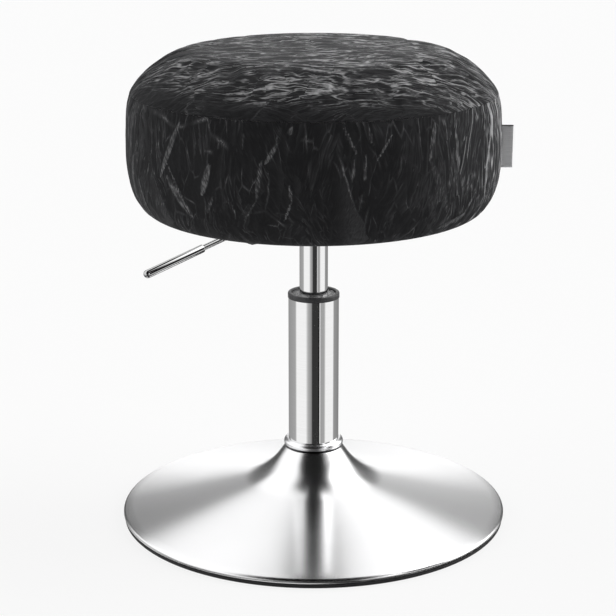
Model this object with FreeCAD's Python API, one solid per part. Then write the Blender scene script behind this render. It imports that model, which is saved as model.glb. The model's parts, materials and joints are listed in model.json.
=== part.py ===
"""Swivel vanity stool: a round padded seat on a gas lift column with a trumpet base.

All sizes are in millimetres. +Z is up and the origin is the centre of the footprint on the floor.
The stool stands part-way up its lift. The front of the stool faces -Y.
Each function makes one piece, and the pieces are stacked from the floor to the seat.
"""

import FreeCAD, Part
import math
import os

Vector = FreeCAD.Vector
UP = Vector(0, 0, 1)

# Clearances
RUNNING = 0.05  # radial gap of a shaft that turns or slides in its bore
LOOSE = 0.3  # gap between pieces that only pass each other

# Trumpet base
BASE_RADIUS = 192.5
SHELL_WALL = 1.5
RIM_HEIGHT = 6.5  # height of the widest point of the rim
RIM_ROLL = 3.0  # radius of the rolled edge
RIM_LIP = 6.0  # flat turned-in lip under the roll
FLARE_ANGLE = 13.5  # slope of the shallow cone
NECK_ANGLE = 55.0  # slope of the steep cone under the neck
FLARE_BLEND = 62.0  # radius between the two cones
NECK_HEIGHT = 72.0  # top of the neck above the floor
NECK_ROUND = 2.0  # radius of the edge that is turned over onto the hub

# Rubber ring under the rim
FOOT_SETBACK = 1.2  # how far the rubber stands back from the rim
FOOT_UPSTAND = 5.0  # height of the wall that locates the ring inside the lip
FOOT_UPSTAND_WALL = 3.0
FOOT_CHAMFER = 0.6

# Hub and gusset inside the base
HUB_WALL = 2.5
HUB_BOTTOM = 18.0
GUSSET_WALL = 2.0
GUSSET_RADIUS = 96.0
GUSSET_FLANGE = 14.0  # width of the flange that lies under the shell
GUSSET_HOLE_RADIUS = 9.0
GUSSET_HOLE_CIRCLE = 55.0
GUSSET_HOLES = 6
GUSSET_GAP = 0.1  # between the flange and the shell

# Column of the gas lift
COLUMN_RADIUS = 25.0
COLUMN_WALL = 1.5
COLUMN_BOTTOM = 14.0
COLUMN_TOP = 226.4
COLUMN_LIP = 4.5  # turned-in edge that carries the end plate
TAPER_PER_SIDE = 1 / 40  # the usual 1:20 taper on diameter
TRIM_HEIGHT = 8.2
TRIM_BULGE = 4.7  # how far the bead stands out from the column
TRIM_BELLY = 4.4  # height of the bead's widest point above its foot
TRIM_FOOT = 2.4  # how far the bead's flat foot stands out from the column

# Collar and guide at the top of the column
COLLAR_HEIGHT = 5.0
COLLAR_OVERHANG = 0.5
COLLAR_RIM = 4.0  # width of the rim seen from above
COLLAR_SKIRT = 5.0  # depth of the skirt inside the column
COLLAR_ROUND = 1.2
GUIDE_LENGTH = 83.5
GUIDE_SINK = 1.8  # how far the guide's top lies below the collar's rim
GUIDE_SLEEVE_WALL = 2.4
GUIDE_BAND = 6.0  # height of each locating band
GUIDE_BANDS = 3
GUIDE_RIBS = 6
GUIDE_RIB_WALL = 2.4
GUIDE_SLOTS = 24
GUIDE_SLOT_WIDTH = 1.3
GUIDE_SLOT_DEPTH = 1.6

# Gas cylinder and its insides
CYLINDER_RADIUS = 14.0
CYLINDER_WALL = 2.0
CYLINDER_LIP = 3.0  # rolled edge at each end, measured inwards from the bore
CYLINDER_LIP_HEIGHT = 2.0
PRESSURE_TUBE_WALL = 1.0
BYPASS_GAP = 0.8  # ring-shaped gas passage round the pressure tube
PRESSURE_TUBE_SEAT = 4.0  # length of the spigots that hold the pressure tube
ROD_GUIDE_LENGTH = 18.0
ROD_SEAL_HEIGHT = 5.0
ROD_SEAL_RADIUS = 8.5
VALVE_LENGTH = 27.0
SEAL_SECTION = 0.9  # section radius of the sealing rings
PIN_RADIUS = 4.0
PIN_STANDOUT = 5.4  # how far the release pin stands above the cylinder
PIN_INSIDE = 16.0  # length of the pin inside the valve
PIN_DOME = 7.0  # radius of the pin's rounded top

# Piston rod, buffer and swivel bearing
ROD_RADIUS = 5.0
ROD_NECK_RADIUS = 4.0
ROD_END = 11.0  # lower end of the rod above the floor
CLIP_GROOVE_DEPTH = 0.8
CLIP_WALL = 1.2
CLIP_RADIUS = 7.0
CLIP_MOUTH = 5.0
CLIP_BELOW_WASHER = 0.2
END_WASHER_WALL = 1.2
END_WASHER_RADIUS = 9.5
END_PLATE_WALL = 4.0
RACE_WALL = 2.0
RACE_RADIUS = 13.0
RACE_GROOVE_DEPTH = 0.35
BALL_RADIUS = 2.0
BALL_CIRCLE = 9.0
BALLS = 10
CAGE_WALL = 1.6
CAGE_WIDTH = 5.2
BUFFER_HEIGHT = 15.0
BUFFER_ROUND = 2.0
PISTON_HEIGHT = 16.0
PISTON_STEM_RADIUS = 3.5
RIVET_HEIGHT = 3.0
RIVET_RADIUS = 5.5

# Travel of the lift from the pose shown
LIFT_DOWN = 30.0
LIFT_UP = 90.0
STOP_GAP = 0.5  # left at each end of the travel

# Seat plate, a pressed plate with a channel for the release lever
SOCKET_CLEARANCE = 22.2  # over the collar when the seat is right down
SOCKET_LENGTH = 19.0
SOCKET_WALL = 3.5
PLATE_SIZE = 170.0
PLATE_WALL = 2.5
PLATE_CORNER = 18.0
PLATE_SKIRT = 5.0  # turned-down edge
CHANNEL_WIDTH = 36.0
CHANNEL_CORNER = 6.0
CHANNEL_BACK = 22.0  # centre of the channel's round end, behind the socket
CHANNEL_FLOOR_BELOW_SOCKET_TOP = 5.6
SCREW_INSET = 20.0  # from the plate's edges to the screws

# Release lever
LEVER_HEADING = 217.3  # direction in plan, counter-clockwise from +X
LEVER_RADIUS = 2.75
LEVER_HEADROOM = 7.85  # from the lever's axis to the seat's underside
LEVER_TIP = 3.0  # how far the tip reaches past the pin
LEVER_PIVOT = 34.0  # distance of the pivot from the column's axis
LEVER_BEND_AT = 68.2
LEVER_BEND_ANGLE = 14.0
LEVER_BEND_RADIUS = 30.0
PIVOT_PIN_RADIUS = 2.0
PIVOT_PIN_HEAD = 1.6
PIVOT_PIN_HEAD_RADIUS = 3.6
PIVOT_TUBE_RADIUS = 4.6
GRIP_START = 130.8  # distance of the grip's inner end from the column's axis
GRIP_LENGTH = 66.9
GRIP_RADIUS = 4.0
GRIP_OVERLAP = 45.0  # length of the lever inside the grip
GRIP_COLLAR = 0.4  # rounded shoulder at the grip's inner end

# Seat
SEAT_RADIUS = 179.3
BOARD_WALL = 15.0
BOARD_EDGE_GAP = 0.7  # how far the board stops short of the cover's rounded edge
COVER_WALL = 2.0
DUST_COVER_WALL = 0.8
HEM_CLEARANCE = 8.0  # from the plate's corners to the cover turned in under the board
SEAM_HEIGHT = 114.0  # above the seat's underside
SEAM_SETBACK = 3.1  # how far the seam stands in from the widest point
BULGE_HEIGHT = 56.6  # height of the widest point above the underside
EDGE_ROUND = 22.0  # radius where the side turns under the seat
FLAT_SETBACK = 28.6  # from the widest point to where the underside is flat
CROWN_ROUND = 79.0  # radius of the shoulder above the seam
CROWN_SEAM_SLOPE = 59.0  # slope of the top panel where it meets the seam
CROWN_MIDDLE_SLOPE = 3.0  # slope where the gently crowned middle ends
CROWN_OVERRUN = 20.0  # degrees that the crown's arc runs on past the seam before it is cut
SIDE_OVERRUN = 2.0  # degrees that the side's arc runs on past the seam before it is cut
SEAM_GROOVE = 1.2

# Sewn-in ribbon on the side
TAB_HEIGHT = 41.5
TAB_STANDOUT = 12.6
TAB_WALL = 1.2
TAB_ABOVE_BULGE = 3.2  # centre of the ribbon above the widest point

# Screws and tee nuts
SCREW_RADIUS = 2.95
SCREW_HOLE_RADIUS = 3.4
SCREW_HEAD_RADIUS = 6.0
SCREW_HEAD_HEIGHT = 3.6
SCREW_SOCKET = 2.0
SCREW_TIP_SHORT = 1.5  # how far the screw stops below the board's top
WASHER_RADIUS = 8.5
WASHER_WALL = 1.2
TEE_BARREL_RADIUS = 4.2
TEE_BARREL_LENGTH = 9.0
TEE_FLANGE_RADIUS = 9.5
TEE_FLANGE_WALL = 1.4

# Heights that follow from the sizes above
COLLAR_TOP = COLUMN_TOP + COLLAR_HEIGHT
SOCKET_BOTTOM = COLLAR_TOP + LIFT_DOWN + SOCKET_CLEARANCE
SOCKET_TOP = SOCKET_BOTTOM + SOCKET_LENGTH
CYLINDER_TOP = SOCKET_TOP - LOOSE
PIN_TOP = CYLINDER_TOP + PIN_STANDOUT
LEVER_AXIS = PIN_TOP + LOOSE + LEVER_RADIUS
PLATE_TOP = LEVER_AXIS + LEVER_HEADROOM
BOARD_BOTTOM = PLATE_TOP + DUST_COVER_WALL
BOARD_TOP = BOARD_BOTTOM + BOARD_WALL
SEAT_BOTTOM = BOARD_BOTTOM - COVER_WALL
SEAM_Z = SEAT_BOTTOM + SEAM_HEIGHT
BULGE_Z = SEAT_BOTTOM + BULGE_HEIGHT
END_PLATE_BOTTOM = COLUMN_BOTTOM + COLUMN_WALL
END_PLATE_TOP = END_PLATE_BOTTOM + END_PLATE_WALL
LOWER_RACE_TOP = END_PLATE_TOP + RACE_WALL
BALL_Z = LOWER_RACE_TOP - RACE_GROOVE_DEPTH + RUNNING + BALL_RADIUS
UPPER_RACE_BOTTOM = BALL_Z + BALL_RADIUS + RUNNING - RACE_GROOVE_DEPTH
ROD_SHOULDER = UPPER_RACE_BOTTOM + RACE_WALL
BUFFER_TOP = ROD_SHOULDER + BUFFER_HEIGHT
CYLINDER_BOTTOM = BUFFER_TOP + STOP_GAP + LIFT_DOWN
ROD_GUIDE_BOTTOM = CYLINDER_BOTTOM + CYLINDER_LIP_HEIGHT
ROD_GUIDE_TOP = ROD_GUIDE_BOTTOM + ROD_GUIDE_LENGTH
VALVE_TOP = CYLINDER_TOP - CYLINDER_LIP_HEIGHT
VALVE_BOTTOM = VALVE_TOP - VALVE_LENGTH
PISTON_BOTTOM = ROD_GUIDE_TOP + LIFT_UP + STOP_GAP
PISTON_TOP = PISTON_BOTTOM + PISTON_HEIGHT
GUIDE_TOP = COLLAR_TOP - GUIDE_SINK
GUIDE_BOTTOM = GUIDE_TOP - GUIDE_LENGTH
END_WASHER_TOP = END_PLATE_BOTTOM - LOOSE
CLIP_TOP = END_WASHER_TOP - END_WASHER_WALL - CLIP_BELOW_WASHER

# Radii that follow from the sizes above
COLUMN_BORE = COLUMN_RADIUS - COLUMN_WALL
COLLAR_BORE = COLUMN_RADIUS + COLLAR_OVERHANG - COLLAR_RIM
CYLINDER_BORE = CYLINDER_RADIUS - CYLINDER_WALL
PRESSURE_TUBE_RADIUS = CYLINDER_BORE - BYPASS_GAP
PRESSURE_TUBE_BORE = PRESSURE_TUBE_RADIUS - PRESSURE_TUBE_WALL
PISTON_RADIUS = PRESSURE_TUBE_BORE - RUNNING
HUB_BORE_TOP = COLUMN_RADIUS
HUB_RADIUS = HUB_BORE_TOP + HUB_WALL
SOCKET_RADIUS = CYLINDER_RADIUS + SOCKET_WALL
SEAT_FLAT_RADIUS = SEAT_RADIUS - FLAT_SETBACK
SEAT_CORE_RADIUS = SEAT_FLAT_RADIUS - BOARD_EDGE_GAP
PLATE_REACH = PLATE_CORNER + (PLATE_SIZE / 2 - PLATE_CORNER) * math.sqrt(2)
HEM_RADIUS = PLATE_REACH + HEM_CLEARANCE
DUST_COVER_RADIUS = (HEM_RADIUS + SEAT_FLAT_RADIUS) / 2
SCREW_SPACING = PLATE_SIZE - 2 * SCREW_INSET


def at(radius, height):
    """A point of a profile in the plane that is turned about the column's axis."""
    return Vector(radius, 0, height)


def outline(points):
    """Straight edges through the points, closed at the end."""
    pairs = zip(points, points[1:] + points[:1])
    return [Part.makeLine(a, b) for a, b in pairs if a.distanceToPoint(b) > 1e-7]


def turned(edges):
    """The solid made by turning a closed profile about the column's axis."""
    face = Part.Face(Part.Wire(Part.sortEdges(edges)[0]))
    return face.revolve(Vector(0, 0, 0), UP, 360)


def turned_polygon(*corners):
    """The solid turned from a profile of straight edges, given as (radius, height) pairs."""
    return turned(outline([at(*corner) for corner in corners]))


def ring(inner, outer, bottom, top):
    """A plain ring, or a disc where the inner radius is 0."""
    disc = Part.makeCylinder(outer, top - bottom, Vector(0, 0, bottom))
    if inner <= 0:
        return disc
    return disc.cut(Part.makeCylinder(inner, top - bottom, Vector(0, 0, bottom)))


def cylinder_along(radius, start, end):
    """A round bar from one point to another."""
    way = end - start
    return Part.makeCylinder(radius, way.Length, start, way)


class Path:
    """A tangent run of lines and arcs in the profile plane, walked like a pencil."""

    def __init__(self, radius, height, heading):
        self.place = at(radius, height)
        self.heading = heading
        self.edges = []

    def direction(self, heading):
        """The unit vector of a heading, counted up from the outward direction."""
        turn = math.radians(heading)
        return Vector(math.cos(turn), 0, math.sin(turn))

    def run(self, length):
        """A straight line ahead."""
        end = self.place + self.direction(self.heading) * length
        self.edges.append(Part.makeLine(self.place, end))
        self.place = end
        return self

    def bend(self, radius, angle):
        """A tangent arc. A positive angle turns upwards from the outward direction."""
        side = 90 if angle > 0 else -90
        centre = self.place + self.direction(self.heading + side) * radius
        half = centre - self.direction(self.heading + side + angle / 2) * radius
        end = centre - self.direction(self.heading + side + angle) * radius
        self.edges.append(Part.Arc(self.place, half, end).toShape())
        self.place = end
        self.heading += angle
        return self

    def closed_through(self, *corners):
        """The path's edges, closed by straight lines through the corners."""
        stops = [self.place] + [at(*corner) for corner in corners]
        stops.append(self.edges[0].valueAt(self.edges[0].FirstParameter))
        pairs = zip(stops, stops[1:])
        return self.edges + [Part.makeLine(a, b) for a, b in pairs if a.distanceToPoint(b) > 1e-7]


def polar_copies(shape, count):
    """Copies of a shape spread evenly round the column's axis."""
    copies = []
    for step in range(count):
        copy = shape.copy()
        copy.rotate(Vector(0, 0, 0), UP, step * 360 / count)
        copies.append(copy)
    return copies


def heading_turned(shape):
    """A shape modelled with the lever along +X, turned to the lever's direction in plan."""
    moved = shape.copy()
    moved.rotate(Vector(0, 0, 0), UP, LEVER_HEADING)
    return moved


def base_outline(inset):
    """Walks the trumpet's outer surface from the neck to the rim's lip, moved inwards by inset."""
    tip = Vector(BASE_RADIUS - RIM_ROLL, 0, RIM_HEIGHT)
    roll = RIM_ROLL - inset
    flare = math.radians(FLARE_ANGLE)
    neck = math.radians(NECK_ANGLE)
    top_of_roll = tip + Vector(math.sin(flare), 0, math.cos(flare)) * roll
    # Where the neck's rounded edge runs into the steep cone
    edge = NECK_ROUND - inset
    neck_radius = HUB_RADIUS + edge * math.sin(neck)
    neck_foot = NECK_HEIGHT - NECK_ROUND + edge * math.cos(neck)
    # The corner where the two cones would meet without their blend
    corner_radius = (
        top_of_roll.z
        + top_of_roll.x * math.tan(flare)
        - neck_foot
        - neck_radius * math.tan(neck)
    ) / (math.tan(flare) - math.tan(neck))
    blend = FLARE_BLEND + inset
    cut_back = blend * math.tan((neck - flare) / 2)
    steep = (corner_radius - neck_radius) / math.cos(neck) - cut_back
    shallow = (top_of_roll.x - corner_radius) / math.cos(flare) - cut_back
    path = Path(HUB_RADIUS, NECK_HEIGHT - inset, 0)
    path.bend(edge, -NECK_ANGLE)
    path.run(steep)
    path.bend(blend, NECK_ANGLE - FLARE_ANGLE)
    path.run(shallow)
    path.bend(roll, FLARE_ANGLE - 180)
    path.run(RIM_LIP)
    return path


def flare_underside(radius):
    """Height of the shell's inner surface on the shallow cone."""
    flare = math.radians(FLARE_ANGLE)
    foot = RIM_HEIGHT + (RIM_ROLL - SHELL_WALL) / math.cos(flare)
    return foot + (BASE_RADIUS - RIM_ROLL - radius) * math.tan(flare)


def trumpet_base():
    """Spun steel shell with a rolled rim and an edge turned over at the neck."""
    outside = base_outline(0)
    inside = base_outline(SHELL_WALL)
    ends = [
        Part.makeLine(outside.place, inside.place),
        Part.makeLine(at(HUB_RADIUS, NECK_HEIGHT), at(HUB_RADIUS, NECK_HEIGHT - SHELL_WALL)),
    ]
    return turned(outside.edges + inside.edges + ends)


def floor_ring():
    """Rubber ring that carries the rim, located by an upstand inside the rim's lip."""
    outer = BASE_RADIUS - FOOT_SETBACK
    seat = RIM_HEIGHT - RIM_ROLL
    lip_edge = BASE_RADIUS - RIM_ROLL - RIM_LIP
    inner = lip_edge - LOOSE - FOOT_UPSTAND_WALL
    return turned_polygon(
        (outer - FOOT_CHAMFER, 0),
        (outer, FOOT_CHAMFER),
        (outer, seat),
        (lip_edge - LOOSE, seat),
        (lip_edge - LOOSE, seat + FOOT_UPSTAND - FOOT_CHAMFER),
        (lip_edge - LOOSE - FOOT_CHAMFER, seat + FOOT_UPSTAND),
        (inner, seat + FOOT_UPSTAND),
        (inner, 0),
    )


def column_taper(height):
    """Outer radius of the column, which narrows inside the hub."""
    return COLUMN_RADIUS - max(0, NECK_HEIGHT - height) * TAPER_PER_SIDE


def base_hub():
    """Tapered socket in the neck of the base."""
    return turned_polygon(
        (column_taper(HUB_BOTTOM), HUB_BOTTOM),
        (HUB_RADIUS, HUB_BOTTOM),
        (HUB_RADIUS, NECK_HEIGHT),
        (column_taper(NECK_HEIGHT), NECK_HEIGHT),
    )


def hub_gusset():
    """Pressed dish that ties the foot of the hub to the underside of the shell."""
    flare = math.tan(math.radians(FLARE_ANGLE))
    gap = GUSSET_GAP / math.cos(math.radians(FLARE_ANGLE))
    rise = GUSSET_WALL / math.cos(math.radians(FLARE_ANGLE))
    flange = GUSSET_RADIUS - GUSSET_FLANGE
    edge_top = flare_underside(GUSSET_RADIUS) - gap
    flange_top = edge_top + GUSSET_FLANGE * flare
    foot = HUB_RADIUS + 2 * GUSSET_WALL
    dish = turned_polygon(
        (HUB_RADIUS, HUB_BOTTOM),
        (foot, HUB_BOTTOM),
        (flange, flange_top - rise),
        (GUSSET_RADIUS, edge_top - rise),
        (GUSSET_RADIUS, edge_top),
        (flange, flange_top),
        (foot, HUB_BOTTOM + GUSSET_WALL),
        (HUB_RADIUS, HUB_BOTTOM + GUSSET_WALL),
    )
    hole = Part.makeCylinder(GUSSET_HOLE_RADIUS, NECK_HEIGHT, Vector(GUSSET_HOLE_CIRCLE, 0, 0))
    return dish.cut(Part.makeCompound(polar_copies(hole, GUSSET_HOLES)))


def trim_ring():
    """Bright bead that covers the joint of column and base, drawn in at its foot."""
    bore = COLUMN_RADIUS + RUNNING
    foot = COLUMN_RADIUS + TRIM_FOOT
    bulge = COLUMN_RADIUS + TRIM_BULGE
    top = NECK_HEIGHT + TRIM_HEIGHT
    crest = at((bore + foot) / 2, top)
    swell = Part.Arc(
        at(foot, NECK_HEIGHT),
        at(bulge, NECK_HEIGHT + TRIM_BELLY),
        crest,
    ).toShape()
    sides = [
        Part.makeLine(crest, at(bore, top)),
        Part.makeLine(at(bore, top), at(bore, NECK_HEIGHT)),
        Part.makeLine(at(bore, NECK_HEIGHT), at(foot, NECK_HEIGHT)),
    ]
    return turned([swell] + sides)


def column_tube():
    """Outer tube of the lift, tapered where it sits in the hub and turned in at its foot."""
    foot = column_taper(COLUMN_BOTTOM)
    foot_bore = column_taper(END_PLATE_BOTTOM) - COLUMN_WALL
    return turned_polygon(
        (foot_bore - COLUMN_LIP, COLUMN_BOTTOM),
        (foot, COLUMN_BOTTOM),
        (COLUMN_RADIUS, NECK_HEIGHT),
        (COLUMN_RADIUS, COLUMN_TOP),
        (COLUMN_BORE, COLUMN_TOP),
        (COLUMN_BORE, NECK_HEIGHT),
        (foot_bore, END_PLATE_BOTTOM),
        (foot_bore - COLUMN_LIP, END_PLATE_BOTTOM),
    )


def end_plate():
    """Thick disc that closes the column and carries the swivel bearing."""
    radius = column_taper(END_PLATE_BOTTOM) - COLUMN_WALL - RUNNING
    return ring(ROD_NECK_RADIUS + RUNNING, radius, END_PLATE_BOTTOM, END_PLATE_TOP)


def collar_cap():
    """Black ring that caps the column."""
    outer = COLUMN_RADIUS + COLLAR_OVERHANG
    skirt = COLUMN_BORE - LOOSE / 2
    path = Path(outer, COLUMN_TOP, 90)
    path.run(COLLAR_HEIGHT - COLLAR_ROUND)
    path.bend(COLLAR_ROUND, 90)
    path.run(COLLAR_RIM - 2 * COLLAR_ROUND)
    path.bend(COLLAR_ROUND, 90)
    edges = path.closed_through(
        (COLLAR_BORE, COLUMN_TOP - COLLAR_SKIRT),
        (skirt, COLUMN_TOP - COLLAR_SKIRT),
        (skirt, COLUMN_TOP),
    )
    return turned(edges)


def column_guide():
    """Moulded sleeve that guides the gas cylinder, with locating bands, ribs and a slotted top."""
    bore = CYLINDER_RADIUS + RUNNING
    sleeve = bore + GUIDE_SLEEVE_WALL
    fit = COLUMN_BORE - 2 * RUNNING
    crown = COLLAR_BORE - 2 * RUNNING
    body_top = COLUMN_TOP - COLLAR_SKIRT - LOOSE
    body = ring(bore, sleeve, GUIDE_BOTTOM, GUIDE_TOP)
    step = (body_top - GUIDE_BOTTOM - GUIDE_BAND) / (GUIDE_BANDS - 1)
    for band in range(GUIDE_BANDS):
        low = GUIDE_BOTTOM + band * step
        body = body.fuse(ring(bore, fit, low, low + GUIDE_BAND))
    rib = Part.makeBox(
        fit - sleeve,
        GUIDE_RIB_WALL,
        body_top - GUIDE_BOTTOM - GUIDE_BAND,
        Vector(sleeve - 2 * RUNNING, -GUIDE_RIB_WALL / 2, GUIDE_BOTTOM + GUIDE_BAND / 2),
    )
    body = body.fuse(polar_copies(rib, GUIDE_RIBS))
    body = body.fuse(ring(bore, crown, body_top, GUIDE_TOP))
    slot = Part.makeBox(
        crown - sleeve - GUIDE_SLOT_WIDTH,
        GUIDE_SLOT_WIDTH,
        GUIDE_SLOT_DEPTH,
        Vector(sleeve, -GUIDE_SLOT_WIDTH / 2, GUIDE_TOP - GUIDE_SLOT_DEPTH),
    )
    return body.cut(polar_copies(slot, GUIDE_SLOTS)).removeSplitter()


def race_groove(height):
    """The torus that a ball sweeps with a little room round it."""
    return Part.makeTorus(BALL_CIRCLE, BALL_RADIUS + RUNNING, Vector(0, 0, height), UP)


def lower_race():
    """Fixed bearing washer on the end plate."""
    washer = ring(ROD_NECK_RADIUS + LOOSE, RACE_RADIUS, END_PLATE_TOP, LOWER_RACE_TOP)
    return washer.cut(race_groove(BALL_Z))


def upper_race():
    """Turning bearing washer under the shoulder of the rod."""
    washer = ring(ROD_NECK_RADIUS, RACE_RADIUS, UPPER_RACE_BOTTOM, ROD_SHOULDER)
    return washer.cut(race_groove(BALL_Z))


def bearing_balls():
    """Ring of balls between the two washers."""
    ball = Part.makeSphere(BALL_RADIUS, Vector(BALL_CIRCLE, 0, BALL_Z))
    return Part.makeCompound(polar_copies(ball, BALLS))


def bearing_cage():
    """Flat cage that spaces the balls."""
    inner = BALL_CIRCLE - CAGE_WIDTH / 2
    outer = BALL_CIRCLE + CAGE_WIDTH / 2
    plate = ring(inner, outer, BALL_Z - CAGE_WALL / 2, BALL_Z + CAGE_WALL / 2)
    pocket = Part.makeCylinder(
        BALL_RADIUS + RUNNING,
        CAGE_WALL,
        Vector(BALL_CIRCLE, 0, BALL_Z - CAGE_WALL / 2),
    )
    return plate.cut(polar_copies(pocket, BALLS))


def piston_rod():
    """Rod of the gas spring: clip groove and neck below, riveted stem above."""
    groove = ROD_NECK_RADIUS - CLIP_GROOVE_DEPTH
    clip_bottom = CLIP_TOP - CLIP_WALL
    return turned_polygon(
        (0, ROD_END),
        (ROD_NECK_RADIUS, ROD_END),
        (ROD_NECK_RADIUS, clip_bottom),
        (groove, clip_bottom),
        (groove, CLIP_TOP),
        (ROD_NECK_RADIUS, CLIP_TOP),
        (ROD_NECK_RADIUS, ROD_SHOULDER),
        (ROD_RADIUS, ROD_SHOULDER),
        (ROD_RADIUS, PISTON_BOTTOM),
        (PISTON_STEM_RADIUS, PISTON_BOTTOM),
        (PISTON_STEM_RADIUS, PISTON_TOP),
        (RIVET_RADIUS, PISTON_TOP),
        (PISTON_STEM_RADIUS, PISTON_TOP + RIVET_HEIGHT),
        (0, PISTON_TOP + RIVET_HEIGHT),
    )


def rod_clip():
    """Spring clip in the groove of the rod, with an open mouth."""
    groove = ROD_NECK_RADIUS - CLIP_GROOVE_DEPTH
    clip = ring(groove, CLIP_RADIUS, CLIP_TOP - CLIP_WALL, CLIP_TOP)
    mouth = Part.makeBox(
        CLIP_RADIUS,
        CLIP_MOUTH,
        CLIP_WALL,
        Vector(0, -CLIP_MOUTH / 2, CLIP_TOP - CLIP_WALL),
    )
    return clip.cut(mouth)


def end_washer():
    """Plain washer between the clip and the end plate."""
    bore = ROD_NECK_RADIUS + RUNNING
    return ring(bore, END_WASHER_RADIUS, END_WASHER_TOP - END_WASHER_WALL, END_WASHER_TOP)


def rubber_buffer():
    """Rubber stop that the cylinder meets when the seat is right down."""
    path = Path(RACE_RADIUS, ROD_SHOULDER, 90)
    path.run(BUFFER_HEIGHT - BUFFER_ROUND)
    path.bend(BUFFER_ROUND, 90)
    bore = ROD_RADIUS + RUNNING
    return turned(path.closed_through((bore, BUFFER_TOP), (bore, ROD_SHOULDER)))


def piston():
    """Piston riveted on the rod, with a groove for its seal."""
    body = ring(PISTON_STEM_RADIUS, PISTON_RADIUS, PISTON_BOTTOM, PISTON_TOP)
    return body.cut(seal_groove(PISTON_RADIUS, (PISTON_BOTTOM + PISTON_TOP) / 2))


def seal_groove(radius, height):
    """Square groove for a round sealing ring, open at the radius."""
    half = SEAL_SECTION + RUNNING
    return ring(radius - 2 * half, radius + half, height - half, height + half)


def sealing_ring(radius, height):
    """Round rubber ring whose outside lies at the radius."""
    return Part.makeTorus(radius - SEAL_SECTION, SEAL_SECTION, Vector(0, 0, height), UP)


def piston_seal():
    """Sealing ring of the piston."""
    return sealing_ring(PISTON_RADIUS, (PISTON_BOTTOM + PISTON_TOP) / 2)


def cylinder_taper(height):
    """Outer radius of the gas cylinder, which narrows inside the seat's socket."""
    return CYLINDER_RADIUS - max(0, height - SOCKET_BOTTOM) * TAPER_PER_SIDE


def gas_cylinder():
    """Sliding tube of the lift, rolled in at both ends and tapered at the top."""
    mouth = CYLINDER_BORE - CYLINDER_LIP
    return turned_polygon(
        (mouth, CYLINDER_BOTTOM),
        (CYLINDER_RADIUS, CYLINDER_BOTTOM),
        (CYLINDER_RADIUS, SOCKET_BOTTOM),
        (cylinder_taper(CYLINDER_TOP), CYLINDER_TOP),
        (mouth, CYLINDER_TOP),
        (mouth, VALVE_TOP),
        (CYLINDER_BORE, VALVE_TOP),
        (CYLINDER_BORE, ROD_GUIDE_BOTTOM),
        (mouth, ROD_GUIDE_BOTTOM),
    )


def rod_guide():
    """Plug that guides the rod, with a pocket for the rod seal and a spigot for the pressure tube."""
    bore = ROD_RADIUS + RUNNING
    plug = CYLINDER_BORE - RUNNING
    spigot = PRESSURE_TUBE_BORE - RUNNING
    pocket = ROD_SEAL_RADIUS + RUNNING
    pocket_top = ROD_GUIDE_BOTTOM + ROD_SEAL_HEIGHT + LOOSE
    return turned_polygon(
        (pocket, ROD_GUIDE_BOTTOM),
        (plug, ROD_GUIDE_BOTTOM),
        (plug, ROD_GUIDE_TOP - PRESSURE_TUBE_SEAT),
        (spigot, ROD_GUIDE_TOP - PRESSURE_TUBE_SEAT),
        (spigot, ROD_GUIDE_TOP),
        (bore, ROD_GUIDE_TOP),
        (bore, pocket_top),
        (pocket, pocket_top),
    )


def rod_seal():
    """Rubber seal round the rod, held in the guide."""
    bore = ROD_RADIUS + RUNNING
    return ring(bore, ROD_SEAL_RADIUS, ROD_GUIDE_BOTTOM, ROD_GUIDE_BOTTOM + ROD_SEAL_HEIGHT)


def pressure_tube():
    """Inner tube in which the piston runs."""
    low = ROD_GUIDE_TOP - PRESSURE_TUBE_SEAT
    high = VALVE_BOTTOM + PRESSURE_TUBE_SEAT
    return ring(PRESSURE_TUBE_BORE, PRESSURE_TUBE_RADIUS, low, high)


def valve_body():
    """Valve plug at the top of the cylinder, with a seal groove and the pin's bore."""
    bore = PIN_RADIUS + RUNNING
    plug = CYLINDER_BORE - RUNNING
    spigot = PRESSURE_TUBE_BORE - RUNNING
    body = turned_polygon(
        (bore, VALVE_BOTTOM),
        (spigot, VALVE_BOTTOM),
        (spigot, VALVE_BOTTOM + PRESSURE_TUBE_SEAT),
        (plug, VALVE_BOTTOM + PRESSURE_TUBE_SEAT),
        (plug, VALVE_TOP),
        (bore, VALVE_TOP),
    )
    return body.cut(seal_groove(plug, valve_seal_height()))


def valve_seal_height():
    """Height of the seal, half way up the wide part of the valve."""
    return (VALVE_BOTTOM + PRESSURE_TUBE_SEAT + VALVE_TOP) / 2


def valve_seal():
    """Sealing ring of the valve."""
    return sealing_ring(CYLINDER_BORE - RUNNING, valve_seal_height())


def release_pin():
    """Pin that opens the valve, with a rounded top."""
    shoulder = PIN_TOP - PIN_DOME + math.sqrt(PIN_DOME**2 - PIN_RADIUS**2)
    half = math.asin(PIN_RADIUS / PIN_DOME) / 2
    dome = Part.Arc(
        at(PIN_RADIUS, shoulder),
        at(PIN_DOME * math.sin(half), PIN_TOP - PIN_DOME + PIN_DOME * math.cos(half)),
        at(0, PIN_TOP),
    ).toShape()
    foot = VALVE_TOP - PIN_INSIDE
    sides = [
        Part.makeLine(at(0, PIN_TOP), at(0, foot)),
        Part.makeLine(at(0, foot), at(PIN_RADIUS, foot)),
        Part.makeLine(at(PIN_RADIUS, foot), at(PIN_RADIUS, shoulder)),
    ]
    return turned([dome] + sides)


def plate_socket():
    """Tapered socket welded into the seat plate."""
    return turned_polygon(
        (cylinder_taper(SOCKET_BOTTOM), SOCKET_BOTTOM),
        (SOCKET_RADIUS, SOCKET_BOTTOM),
        (SOCKET_RADIUS, SOCKET_TOP),
        (cylinder_taper(SOCKET_TOP), SOCKET_TOP),
    )


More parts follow.
